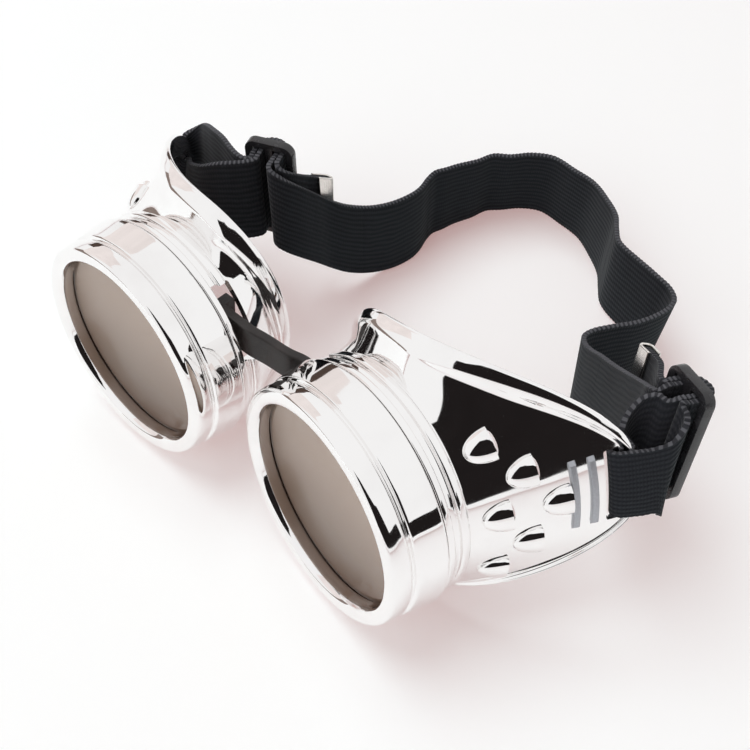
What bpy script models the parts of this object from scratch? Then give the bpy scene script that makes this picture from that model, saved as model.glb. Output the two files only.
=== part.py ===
# Round goggles with two chromed eye cups, screw-on lens rings and an elastic strap.
# Metres, +Z up. +X runs from the left cup to the right cup, the lenses face -Y,
# and the goggles lie on a table at z = 0 with the strap standing on its edge behind them.
import math

import bpy
import bmesh
import numpy as np
from mathutils import Matrix, Vector

# Driving sizes
LENS_RADIUS = 0.0250
LENS_THICKNESS = 0.0020
LENS_BEVEL_WIDTH = 0.0014
LENS_BEVEL_DEPTH = 0.0003
FIT_GAP = 0.0003                 # clearance between neighbours that touch on the real thing
RING_SPACE = 0.0050              # between the two lens rings
REST_LIFT = 0.0020               # what the pitch and the toe lift the cheek rim by
RIGHT_TOE = math.radians(-11.89)
LEFT_TOE = math.radians(-1.80)
CUP_PITCH = math.radians(-5.84)
RIGHT_ROLL = math.radians(0.0)     # each cup's turn about its own lens axis
LEFT_ROLL = math.radians(-12.0)
STAND_CENTRE_X = 0.00586          # middle of the whole outline, from the middle of the two eyes
STAND_CENTRE_Y = 0.06479

# lens ring, measured along the lens axis from the aperture plane
GLASS_COVER_FRONT = 0.00125      # the ring over the edge of the glass, at its front edge
GLASS_COVER_REAR = 0.0007        # and where it meets the glass
RING_LIP_FRONT = 0.0015
RING_LIP_WALL = 0.0031           # walls are measured outward from the edge of the glass
RING_LIP_LENGTH = 0.0032
RING_GROOVE_DEPTH = 0.0006
RING_GROOVE_WIDTH = 0.0012
RING_BAND_FRONT_WALL = 0.0034
RING_BAND_REAR_WALL = 0.00445
RING_LENGTH = 0.01175
RING_EDGE = 0.0004
LENS_SEAT = 0.0031
POCKET_END = 0.0061
GASKET_THICKNESS = 0.0009
GASKET_BAND = 0.0010

# threaded neck and ribbed collar of the cup
NECK_FRONT = 0.0069
NECK_STEP = 0.0010               # the neck's bore is this much smaller than the glass
NECK_WALL = 0.0007
THREAD_PITCH = 0.0020
THREAD_HEIGHT = 0.0007
THREAD_BASE = 0.0010
THREAD_CREST = 0.0004
THREAD_ROOT_SINK = 0.0003
THREAD_CLEARANCE = 0.0004
THREAD_TURNS = 1.75
RING_THREAD_TURNS = 1.5
COLLAR_FRONT_WALL = 0.0039
COLLAR_GROOVE_WALL = 0.0026
COLLAR_REAR_WALL = 0.0036
COLLAR_BORE_WALL = 0.0010
COLLAR_RIB_FRONT = 0.00205
COLLAR_GROOVE = 0.0016
COLLAR_RIB_REAR = 0.00244
COLLAR_ROUND = 0.0004
BORE_STEP = 0.0006
WALL_START = 0.0029

# shell of the cup behind the collar
WALL = 0.0020
RIM_WALL = 0.0016
TEMPLE_FLARE = 0.0144            # the rear rim beyond the start of the wall, on each side
NOSE_FLARE = -0.0030
BROW_FLARE = 0.0091
CHEEK_FLARE = 0.0006
RIM_DEPTH = 0.0212
TEMPLE_SWEEP = 0.0250
TEMPLE_HOOK = 0.0091
RIM_SIDE_SLOPE_SHARE = -0.045
RIM_LIFT_SLOPE_SHARE = 0.039
RIM_POWER = 2.04
CUP_ROLL = math.radians(20.0)
FLANGE_OVERHANG = 0.0036
FLANGE_RISE = 0.0032
FLANGE_SHARES = (0.10, 1.20, 1.20, 0.80, 0.45, 0.45, 0.55, 0.40)
FLANGE_LEAST_WALL_SHARE = 0.35

# louvres, ribs and strap slot on the temple side
TEMPLE_ANGLE = math.radians(22.0)
LOUVRE_LENGTH = 0.0062
LOUVRE_HALF_WIDTH = 0.0036
LOUVRE_HEIGHT = 0.0021
LOUVRE_SKIN = 0.0009
LOUVRE_SINK = 0.0009
LOUVRE_HOLE_DEPTH = 0.0046
LOUVRE_FIRST_DEPTH = 0.0264
LOUVRE_ROW_STEP = 0.0060
LOUVRE_ANGLE_STEP = math.radians(15.0)
LOUVRE_ROWS = ((-2, 0, 2), (-1, 1), (0,))
RIB_LENGTH = 0.0170
RIB_WIDTH = 0.0016
RIB_HEIGHT = 0.0008
RIB_SINK = 0.0008
RIB_LEADS = (0.0077, 0.0039)     # from each rib back to the strap slot
STRAP_SLOT_SETBACK = 0.0063      # from the strap slot back to the rear rim
STRAP_SLOT_END_GAP = 0.0007
STRAP_SLOT_WIDTH = 0.0034

# nose bridge
BRIDGE_HEIGHT = 0.0080
BRIDGE_THICKNESS = 0.0024
BRIDGE_HEAD_THICKNESS = 0.0056
BRIDGE_HEAD_LENGTH = 0.0026
BRIDGE_LEFT_HEIGHT = 0.0077
BRIDGE_RIGHT_HEIGHT = 0.0060
BRIDGE_SLOT_DEPTH = 0.0162
BRIDGE_SLOT_WIDTH = 0.0050
BRIDGE_SLOT_LOW = 0.0015
BRIDGE_SLOT_HIGH = 0.0190
BRIDGE_HEAD_GAP = 0.0020
BRIDGE_HEAD_SETBACK = 0.0012     # the head sits this far behind the middle of the bar

# elastic strap
STRAP_WIDTH = 0.0254
STRAP_THICKNESS = 0.0012
STRAP_GATHERED_WIDTH = 0.0160
STRAP_TABLE_GAP = 0.0004
STRAP_GAP = 0.0003
STRAP_STEP = 0.0026
LOOP_STEP = 0.0012

# strap slider and the metal end clip
SLIDER_RAIL = 0.0017
SLIDER_THICKNESS = 0.0024
SLIDER_BAR = 0.0022
SLIDER_END_BAR = 0.0018
SLIDER_CORNER = 0.0028
SLIDER_EDGE = 0.0005
SLIDER_WINDOW_MARGIN = 0.0006
STRAND_GAP = 0.00035
FOLD_CENTRE = 0.0006
STRAND_EXIT = 0.0030
CLIP_LENGTH = 0.0070
CLIP_THICKNESS = 0.0007
CLIP_OVERHANG = 0.0003
CLIP_GAP = 0.0003

SEGMENTS = 48
THREAD_SEGMENTS = 24
CUT_OVERRUN = 0.0040
WELD_DISTANCE = 0.000003

# Sizes that follow the glass, the strap and their neighbours
APERTURE_RADIUS = LENS_RADIUS - GLASS_COVER_FRONT
APERTURE_REAR_RADIUS = LENS_RADIUS - GLASS_COVER_REAR
RING_LIP_RADIUS = LENS_RADIUS + RING_LIP_WALL
RING_BAND_FRONT_RADIUS = LENS_RADIUS + RING_BAND_FRONT_WALL
RING_BAND_REAR_RADIUS = LENS_RADIUS + RING_BAND_REAR_WALL
NECK_BORE_RADIUS = LENS_RADIUS - NECK_STEP
NECK_ROOT_RADIUS = LENS_RADIUS + NECK_WALL
COLLAR_FRONT_RADIUS = LENS_RADIUS + COLLAR_FRONT_WALL
COLLAR_GROOVE_RADIUS = LENS_RADIUS + COLLAR_GROOVE_WALL
COLLAR_REAR_RADIUS = LENS_RADIUS + COLLAR_REAR_WALL
COLLAR_BORE_RADIUS = LENS_RADIUS + COLLAR_BORE_WALL
WALL_START_RADIUS = LENS_RADIUS + WALL_START
TEMPLE_REACH = WALL_START_RADIUS + TEMPLE_FLARE
NOSE_REACH = WALL_START_RADIUS + NOSE_FLARE
BROW_REACH = WALL_START_RADIUS + BROW_FLARE
CHEEK_REACH = WALL_START_RADIUS + CHEEK_FLARE
EYE_SPACING = 2 * RING_BAND_REAR_RADIUS + RING_SPACE
EYE_HEIGHT = CHEEK_REACH + REST_LIFT
STRAP_SLOT_LENGTH = STRAP_GATHERED_WIDTH + 2 * STRAP_SLOT_END_GAP
SLIDER_HEIGHT = STRAP_WIDTH + 2 * (SLIDER_WINDOW_MARGIN + SLIDER_RAIL)

# Scene helpers
for old in list(bpy.data.objects):
    bpy.data.objects.remove(old, do_unlink=True)

parts = bpy.data.collections.new("round_goggles")
cutters = bpy.data.collections.new("goggle_cutters")
bpy.context.scene.collection.children.link(parts)
bpy.context.scene.collection.children.link(cutters)


def material(name, colour, roughness, metallic=0.0):
    mat = bpy.data.materials.new(name)
    mat.use_nodes = True
    shader = mat.node_tree.nodes["Principled BSDF"]
    shader.inputs["Base Color"].default_value = (*colour, 1.0)
    shader.inputs["Roughness"].default_value = roughness
    shader.inputs["Metallic"].default_value = metallic
    mat.diffuse_color = (*colour, 1.0)
    return mat


CHROME = (0.90, 0.90, 0.91)
TAUPE = (0.36, 0.29, 0.26)
BLACK = (0.02, 0.02, 0.022)
STEEL = (0.82, 0.81, 0.79)


def empty(name, parent, location, turn=None):
    node = bpy.data.objects.new(name, None)
    node.empty_display_size = FIT_GAP
    parts.objects.link(node)
    node.parent = parent
    node.location = location
    if turn is not None:
        node.rotation_euler = turn.to_euler()
    return node


def add_object(name, bm, parent, location=(0, 0, 0), mat=None, cutter=False, turn=None):
    mesh = bpy.data.meshes.new(name)
    bmesh.ops.recalc_face_normals(bm, faces=bm.faces)
    if all(edge.is_manifold for edge in bm.edges) and bm.calc_volume(signed=True) < 0:
        bmesh.ops.reverse_faces(bm, faces=bm.faces)
    bm.to_mesh(mesh)
    bm.free()
    obj = bpy.data.objects.new(name, mesh)
    (cutters if cutter else parts).objects.link(obj)
    obj.parent = parent
    obj.location = location
    if turn is not None:
        obj.rotation_euler = turn
    if mat is not None:
        mesh.materials.append(mat)
    if cutter:
        obj.hide_render = True
        obj.display_type = 'WIRE'
    else:
        mesh.shade_smooth()
        mesh.set_sharp_from_angle(angle=math.radians(35.0))
    return obj


def boolean(target, tool, kind, solver='EXACT'):
    mod = target.modifiers.new(kind.lower() + "_" + tool.name, 'BOOLEAN')
    mod.operation = kind
    mod.solver = solver
    mod.object = tool
    return mod


def loft(loops, closed):
    # A ring of edges is extruded from one cross-section to the next.
    bm = bmesh.new()
    count = len(loops[0])
    tag = bm.verts.layers.int.new("slot")
    bmesh.ops.create_circle(bm, cap_ends=False, radius=1, segments=count)
    bm.verts.ensure_lookup_table()
    for index, vert in enumerate(bm.verts):
        vert[tag] = index
        vert.co = loops[0][index]
    ring = list(bm.edges)
    first = list(ring)
    targets = list(loops[1:]) + ([loops[0]] if closed else [])
    for loop in targets:
        grown = bmesh.ops.extrude_edge_only(bm, edges=ring)["geom"]
        for item in grown:
            if isinstance(item, bmesh.types.BMVert):
                item.co = loop[item[tag]]
        ring = [item for item in grown if isinstance(item, bmesh.types.BMEdge)
                and all(vert in grown for vert in item.verts)]
    if closed:
        bmesh.ops.remove_doubles(bm, verts=bm.verts, dist=WELD_DISTANCE)
    else:
        bmesh.ops.edgeloop_fill(bm, edges=first)
        bmesh.ops.edgeloop_fill(bm, edges=ring)
    bmesh.ops.triangulate(bm, faces=bm.faces)
    return bm


def turned(name, profile, parent, mat, steps=SEGMENTS):
    # The profile is a closed outline of (radius, depth) pairs, outer side first.
    bm = bmesh.new()
    verts = [bm.verts.new((radius, 0, depth)) for radius, depth in reversed(profile)]
    for index, vert in enumerate(verts):
        after = verts[(index + 1) % len(verts)]
        if vert.co.x > 0 or after.co.x > 0:
            bm.edges.new((vert, after))
    mesh = bpy.data.meshes.new(name)
    bm.to_mesh(mesh)
    bm.free()
    obj = bpy.data.objects.new(name, mesh)
    parts.objects.link(obj)
    obj.parent = parent
    screw = obj.modifiers.new("turn", 'SCREW')
    screw.axis = 'Z'
    screw.angle = 2 * math.pi
    screw.steps = steps
    screw.render_steps = steps
    screw.use_merge_vertices = True
    screw.merge_threshold = WELD_DISTANCE
    screw.use_smooth_shade = True
    obj.rotation_euler = (-math.pi / 2, 0, 0)
    mesh.materials.append(mat)
    return obj


def helix_ridge(name, crest_radius, base_radius, start, turns, phase, parent):
    # A trapezoid swept along a right-handed helix about the local Z axis.
    count = int(round(turns * THREAD_SEGMENTS))
    loops = []
    for step in range(count + 1):
        angle = phase + 2 * math.pi * turns * step / count
        depth = start + THREAD_PITCH * turns * step / count
        corners = ((base_radius, -THREAD_BASE / 2), (crest_radius, -THREAD_CREST / 2),
                   (crest_radius, THREAD_CREST / 2), (base_radius, THREAD_BASE / 2))
        loops.append([Vector((r * math.cos(angle), r * math.sin(angle), depth + z))
                      for r, z in corners])
    return add_object(name, loft(loops, False), parent, cutter=True,
                      turn=(-math.pi / 2, 0, 0))


def smooth_path(keys, step):
    # Catmull-Rom through rows of numbers whose first three are a place.
    keys = np.array(keys, float)
    rows = [keys[0]]
    for i in range(len(keys) - 1):
        a = keys[max(i - 1, 0)]
        b, c = keys[i], keys[i + 1]
        d = keys[min(i + 2, len(keys) - 1)]
        length = np.linalg.norm(c[:3] - b[:3])
        before = max(np.linalg.norm(b[:3] - a[:3]), length * 0.5)
        after = max(np.linalg.norm(d[:3] - c[:3]), length * 0.5)
        into = ((b - a) / before * 0.5 + (c - b) / length * 0.5) * length
        out = ((c - b) / length * 0.5 + (d - c) / after * 0.5) * length
        if i == 0:
            into = c - b
        if i == len(keys) - 2:
            out = c - b
        count = max(1, int(round(length / step)))
        for k in range(1, count + 1):
            t = k / count
            rows.append((2 * t**3 - 3 * t**2 + 1) * b + (t**3 - 2 * t**2 + t) * into
                        + (3 * t**2 - 2 * t**3) * c + (t**3 - t**2) * out)
    return np.array(rows)


def strip(name, rows, parent, mat, columns, thickness):
    # Each row holds the middle of the band, its width vector from middle to top edge
    # and how far its middle bows out; a grid follows the rows and gets its thickness.
    rows = np.array(rows, float)
    origin = Vector(rows[0][:3])
    bm = bmesh.new()
    bmesh.ops.create_grid(bm, x_segments=columns, y_segments=len(rows) - 1, size=1)
    for vert in bm.verts:
        across = vert.co.x
        along = int(round((vert.co.y + 1) / 2 * (len(rows) - 1)))
        row = rows[along]
        spot = Vector(row[:3]) + Vector(row[3:6]) * across
        spot += Vector(row[6:9]) * (1 - across * across)
        vert.co = spot - origin
    obj = add_object(name, bm, parent, location=origin, mat=mat)
    solid = obj.modifiers.new("thickness", 'SOLIDIFY')
    solid.thickness = thickness
    solid.offset = 0
    solid.use_even_offset = True
    solid.use_rim = True
    return obj


# Shape of the cup wall
COLLAR_FRONT = RING_LENGTH + FIT_GAP
COLLAR_END = COLLAR_FRONT + COLLAR_RIB_FRONT + COLLAR_GROOVE + COLLAR_RIB_REAR


def rim_point(angle):
    # The rear edge, as radius and depth at one angle round the lens axis.
    turn = angle - CUP_ROLL
    c, s = math.cos(turn), math.sin(turn)
    side = TEMPLE_REACH if c > 0 else NOSE_REACH
    height = BROW_REACH if s > 0 else CHEEK_REACH
    power = RIM_POWER
    radius = (abs(c / side) ** power + abs(s / height) ** power) ** (-1 / power)
    x, z = radius * c, radius * s
    reach = x / TEMPLE_REACH
    depth = (RIM_DEPTH + RIM_SIDE_SLOPE_SHARE * x + RIM_LIFT_SLOPE_SHARE * z
             + TEMPLE_SWEEP * reach ** 2 + TEMPLE_HOOK * reach ** 3)
    return radius, depth


STRAP_SLOT_DEPTH = rim_point(TEMPLE_ANGLE)[1] - STRAP_SLOT_SETBACK
RIB_DEPTHS = [STRAP_SLOT_DEPTH - lead for lead in RIB_LEADS]


def flange_share(angle):
    place = ((angle - CUP_ROLL) / (2 * math.pi) * len(FLANGE_SHARES)) % len(FLANGE_SHARES)
    low = int(place)
    t = place - low
    t = t * t * (3 - 2 * t)
    return (FLANGE_SHARES[low] * (1 - t)
            + FLANGE_SHARES[(low + 1) % len(FLANGE_SHARES)] * t)


def crease_point(angle):
    radius, depth = rim_point(angle)
    share = flange_share(angle)
    least = COLLAR_END + FLANGE_LEAST_WALL_SHARE * (depth - COLLAR_END)
    return radius - FLANGE_OVERHANG * share, max(depth - FLANGE_RISE * share, least)


def wall_point(angle, depth):
    radius, end = crease_point(angle)
    share = (depth - COLLAR_END) / (end - COLLAR_END)
    r = WALL_START_RADIUS + (radius - WALL_START_RADIUS) * share
    return Vector((r * math.cos(angle), depth, r * math.sin(angle)))


def wall_frame(angle, depth):
    # Place on the wall with its rearward, upward and outward directions.
    nudge = FIT_GAP
    spot = wall_point(angle, depth)
    rearward = (wall_point(angle, depth + nudge) - spot).normalized()
    turn = nudge / WALL_START_RADIUS
    around = wall_point(angle + turn, depth) - wall_point(angle - turn, depth)
    around = (around - rearward * around.dot(rearward)).normalized()
    outward = rearward.cross(around).normalized()
    return spot, rearward, around, outward


def offset(radius, depth, dr, dy, amount):
    length = math.hypot(dr, dy)
    return radius - dy / length * amount, depth + dr / length * amount


def cup_sections(side):
    r, f = COLLAR_ROUND, COLLAR_FRONT
    second = f + COLLAR_RIB_FRONT
    third = second + COLLAR_GROOVE
    fixed = [(NECK_BORE_RADIUS, f - BORE_STEP), (NECK_BORE_RADIUS, NECK_FRONT),
             (NECK_ROOT_RADIUS, NECK_FRONT),
             (NECK_ROOT_RADIUS, f), (COLLAR_FRONT_RADIUS - r, f), (COLLAR_FRONT_RADIUS, f + r),
             (COLLAR_FRONT_RADIUS, second - r), (COLLAR_GROOVE_RADIUS, second),
             (COLLAR_GROOVE_RADIUS, third), (COLLAR_REAR_RADIUS, third + r),
             (COLLAR_REAR_RADIUS, COLLAR_END - r), (WALL_START_RADIUS, COLLAR_END)]
    angles = [2 * math.pi * k / SEGMENTS for k in range(SEGMENTS)]

    def spot(radius, angle, depth):
        return Vector((side * radius * math.cos(angle), depth, radius * math.sin(angle)))

    loops = [[spot(radius, a, depth) for a in angles] for radius, depth in fixed]
    shaped = []
    for a in angles:
        rr, ry = rim_point(a)
        cr, cy = crease_point(a)
        wall_r, wall_y = cr - WALL_START_RADIUS, cy - COLLAR_END
        rim_r, rim_y = rr - cr, ry - cy
        inner_start = offset(WALL_START_RADIUS, COLLAR_END, wall_r, wall_y, WALL)
        lw, lf = math.hypot(wall_r, wall_y), math.hypot(rim_r, rim_y)
        inner_crease = offset(cr, cy, wall_r / lw + rim_r / lf, wall_y / lw + rim_y / lf, WALL)
        inner_rim = offset(rr, ry, rim_r, rim_y, RIM_WALL)
        edge = offset(rr + rim_r / lf * RIM_WALL / 3, ry + rim_y / lf * RIM_WALL / 3,
                      rim_r, rim_y, RIM_WALL / 2)
        middle = ((WALL_START_RADIUS + cr) / 2, (COLLAR_END + cy) / 2)
        shaped.append([middle, (cr, cy), (rr, ry), edge, inner_rim, inner_crease,
                       (COLLAR_BORE_RADIUS, max(inner_start[1], COLLAR_END))])
    for k in range(len(shaped[0])):
        loops.append([spot(row[k][0], a, row[k][1]) for row, a in zip(shaped, angles)])
    loops.append([spot(COLLAR_BORE_RADIUS, a, f + BORE_STEP * 2) for a in angles])
    return loops


def wall_tool(name, bm, angle, depth, side, parent):
    # Moves a shape drawn as (rearward, upward, outward) on to the wall.
    spot, rearward, around, outward = wall_frame(angle, depth)
    for vert in bm.verts:
        place = spot + rearward * vert.co.x + around * vert.co.y + outward * vert.co.z
        vert.co = Vector((side * place.x, place.y, place.z))
    return add_object(name, bm, parent, cutter=True)


def louvre_shape(front, rear, half_width, height, depth):
    bm = bmesh.new()
    bmesh.ops.create_uvsphere(bm, u_segments=16, v_segments=8, radius=1)
    for vert in bm.verts:
        x, y, z = vert.co
        vert.co = Vector((x * (front if x < 0 else rear), y * half_width,
                          z * (height if z > 0 else depth)))
    return bm


def half_louvre():
    bm = louvre_shape(LOUVRE_LENGTH, LOUVRE_LENGTH, LOUVRE_HALF_WIDTH, LOUVRE_HEIGHT,
                      LOUVRE_HEIGHT)
    for place, normal in (((0, 0, 0), (1, 0, 0)), ((0, 0, -LOUVRE_SINK), (0, 0, -1))):
        cut = bmesh.ops.bisect_plane(bm, geom=bm.verts[:] + bm.edges[:] + bm.faces[:],
                                     plane_co=place, plane_no=normal, clear_outer=True)
        rim = [item for item in cut["geom_cut"] if isinstance(item, bmesh.types.BMEdge)]
        bmesh.ops.edgeloop_fill(bm, edges=rim)
    return bm


def box_shape(low, high):
    bm = bmesh.new()
    bmesh.ops.create_cube(bm, size=1)
    for vert in bm.verts:
        vert.co = Vector([low[i] if vert.co[i] < 0 else high[i] for i in range(3)])
    return bm


def rib_shape(depth, side):
    # A short bar that follows the curve of the wall.
    radius = wall_point(TEMPLE_ANGLE, depth).xz.length
    half = RIB_LENGTH / 2 / radius
    count = 6
    loops = []
    for k in range(count + 1):
        angle = TEMPLE_ANGLE - half + 2 * half * k / count
        spot, rearward, around, outward = wall_frame(angle, depth)
        loops.append([Vector((side * p.x, p.y, p.z)) for p in
                      (spot - rearward * RIB_WIDTH / 2 - outward * RIB_SINK,
                       spot - rearward * RIB_WIDTH / 2 + outward * RIB_HEIGHT,
                       spot + rearward * RIB_WIDTH / 2 + outward * RIB_HEIGHT,
                       spot + rearward * RIB_WIDTH / 2 - outward * RIB_SINK)])
    return loft(loops, False)


# The two eyes
stand = empty("table_origin", None, (-STAND_CENTRE_X, -STAND_CENTRE_Y, 0))
BRIDGE_SLOT_RADIUS = (COLLAR_BORE_RADIUS + COLLAR_REAR_RADIUS) / 2


def eye(label, side, toe, roll, bridge_height):
    level = Matrix.Rotation(toe, 3, 'Z') @ Matrix.Rotation(CUP_PITCH, 3, 'X')
    turn = level @ Matrix.Rotation(roll, 3, 'Y')
    aperture = Vector((side * EYE_SPACING / 2, 0, EYE_HEIGHT))
    inboard = math.sqrt(BRIDGE_SLOT_RADIUS ** 2 - bridge_height ** 2)
    hinge_in_cup = Vector((-side * inboard, BRIDGE_SLOT_DEPTH, bridge_height))
    hinge = aperture + turn @ hinge_in_cup
    pivot = empty("bridge_hinge_" + label, stand, hinge, turn)
    place = -hinge_in_cup

    cup = add_object("eye_cup_" + label, loft(cup_sections(side), True), pivot, place,
                     material("chrome_cup_" + label, CHROME, 0.06, 1.0))
    carrier = empty("lens_axis_" + label, pivot, place)

    ridge = helix_ridge("neck_thread_" + label, NECK_ROOT_RADIUS + THREAD_HEIGHT,
                        NECK_ROOT_RADIUS - THREAD_ROOT_SINK,
                        NECK_FRONT + THREAD_BASE * 0.7, THREAD_TURNS, 0, carrier)
    boolean(cup, ridge, 'UNION', 'MANIFOLD')
    for row, places in enumerate(LOUVRE_ROWS):
        for place_in_row in places:
            angle = TEMPLE_ANGLE + place_in_row * LOUVRE_ANGLE_STEP
            depth = LOUVRE_FIRST_DEPTH + row * LOUVRE_ROW_STEP
            tag = label + "_%d_%d" % (row, place_in_row + 2)
            dome = wall_tool("louvre_" + tag, half_louvre(), angle, depth, side, carrier)
            boolean(cup, dome, 'UNION', 'MANIFOLD')
    for row, places in enumerate(LOUVRE_ROWS):
        for place_in_row in places:
            angle = TEMPLE_ANGLE + place_in_row * LOUVRE_ANGLE_STEP
            depth = LOUVRE_FIRST_DEPTH + row * LOUVRE_ROW_STEP
            tag = label + "_%d_%d" % (row, place_in_row + 2)
            hole = louvre_shape(LOUVRE_LENGTH - LOUVRE_SKIN * 1.5, LOUVRE_SKIN,
                                LOUVRE_HALF_WIDTH - LOUVRE_SKIN,
                                LOUVRE_HEIGHT - LOUVRE_SKIN, LOUVRE_HOLE_DEPTH)
            vent = wall_tool("vent_" + tag, hole, angle, depth, side, carrier)
            boolean(cup, vent, 'DIFFERENCE', 'MANIFOLD')
    for number, depth in enumerate(RIB_DEPTHS):
        rib = add_object("rib_%s_%d" % (label, number), rib_shape(depth, side), carrier,
                         cutter=True)
        boolean(cup, rib, 'UNION', 'MANIFOLD')
    slot = wall_tool("strap_slot_" + label,
                     box_shape((-STRAP_SLOT_WIDTH / 2, -STRAP_SLOT_LENGTH / 2, -CUT_OVERRUN),
                               (STRAP_SLOT_WIDTH / 2, STRAP_SLOT_LENGTH / 2, CUT_OVERRUN)),
                     TEMPLE_ANGLE, STRAP_SLOT_DEPTH, side, carrier)
    boolean(cup, slot, 'DIFFERENCE', 'MANIFOLD')
    inner = math.sqrt(COLLAR_BORE_RADIUS ** 2 - BRIDGE_SLOT_HIGH ** 2) - CUT_OVERRUN
    bm = box_shape((-COLLAR_FRONT_RADIUS - CUT_OVERRUN, BRIDGE_SLOT_DEPTH - BRIDGE_SLOT_WIDTH / 2,
                    BRIDGE_SLOT_LOW),
                   (-inner, BRIDGE_SLOT_DEPTH + BRIDGE_SLOT_WIDTH / 2, BRIDGE_SLOT_HIGH))
    for vert in bm.verts:
        vert.co.x *= side
    boolean(cup, add_object("bridge_slot_" + label, bm, carrier, cutter=True),
            'DIFFERENCE', 'MANIFOLD')
    weld = cup.modifiers.new("weld", 'WELD')
    weld.merge_threshold = WELD_DISTANCE

    # The ring screws on the neck; its inside steps from the opening to the lens pocket
    # and then to the threaded bore.
    bore = NECK_ROOT_RADIUS + THREAD_HEIGHT + THREAD_CLEARANCE
    pocket = LENS_RADIUS + FIT_GAP
    lip = RING_LIP_FRONT
    e = RING_EDGE
    lip_mid = (APERTURE_RADIUS + RING_LIP_RADIUS) / 2
    lip_half = (RING_LIP_RADIUS - APERTURE_RADIUS) / 2
    profile = [(APERTURE_RADIUS, 0),
               (lip_mid - lip_half * 0.55, -lip * 0.8), (lip_mid, -lip),
               (lip_mid + lip_half * 0.6, -lip * 0.75), (RING_LIP_RADIUS - e / 2, 0),
               (RING_LIP_RADIUS, lip), (RING_LIP_RADIUS - e / 2, RING_LIP_LENGTH),
               (RING_LIP_RADIUS - RING_GROOVE_DEPTH, RING_LIP_LENGTH + RING_GROOVE_WIDTH / 2),
               (RING_BAND_FRONT_RADIUS, RING_LIP_LENGTH + RING_GROOVE_WIDTH),
               (RING_BAND_REAR_RADIUS, RING_LENGTH - e),
               (RING_BAND_REAR_RADIUS - e, RING_LENGTH), (bore, RING_LENGTH),
               (bore, POCKET_END), (pocket, POCKET_END), (pocket, LENS_SEAT),
               (APERTURE_REAR_RADIUS, LENS_SEAT)]
    chrome = material("chrome_ring_" + label, CHROME, 0.05, 1.0)
    ring = turned("lens_ring_" + label, profile, carrier, chrome)
    female = helix_ridge("ring_thread_" + label, bore - THREAD_HEIGHT, bore + THREAD_ROOT_SINK,
                         RING_LENGTH - THREAD_BASE - RING_THREAD_TURNS * THREAD_PITCH,
                         RING_THREAD_TURNS, ring_phase(), carrier)
    boolean(ring, female, 'UNION')

    glass_front = LENS_SEAT + FIT_GAP
    glass_rear = glass_front + LENS_THICKNESS
    turned("tinted_lens_" + label,
           [(0, glass_front), (LENS_RADIUS - LENS_BEVEL_WIDTH, glass_front),
            (LENS_RADIUS, glass_front + LENS_BEVEL_DEPTH), (LENS_RADIUS, glass_rear),
            (0, glass_rear)], carrier, material("tinted_glass_" + label, TAUPE, 0.08))
    gasket_front = glass_rear + FIT_GAP
    turned("lens_gasket_" + label,
           [(LENS_RADIUS - GASKET_BAND, gasket_front), (LENS_RADIUS, gasket_front),
            (LENS_RADIUS, gasket_front + GASKET_THICKNESS),
            (LENS_RADIUS - GASKET_BAND, gasket_front + GASKET_THICKNESS)],
           carrier, material("gasket_rubber_" + label, BLACK, 0.6))
    return {"pivot": pivot, "hinge": hinge, "turn": turn, "aperture": aperture,
            "side": side, "up": level @ Vector((0, 0, 1)),
            "inward": level @ Vector((-side, 0, 0))}


def ring_phase():
    # Both ridges run along the same lead; the ring's is half a pitch behind the neck's.
    neck_start = NECK_FRONT + THREAD_BASE * 0.7
    ring_start = RING_LENGTH - THREAD_BASE - RING_THREAD_TURNS * THREAD_PITCH
    return 2 * math.pi * ((ring_start - neck_start) / THREAD_PITCH - 0.5)


right = eye("right", 1, RIGHT_TOE, RIGHT_ROLL, BRIDGE_RIGHT_HEIGHT)
left = eye("left", -1, LEFT_TOE, LEFT_ROLL, BRIDGE_LEFT_HEIGHT)

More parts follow.
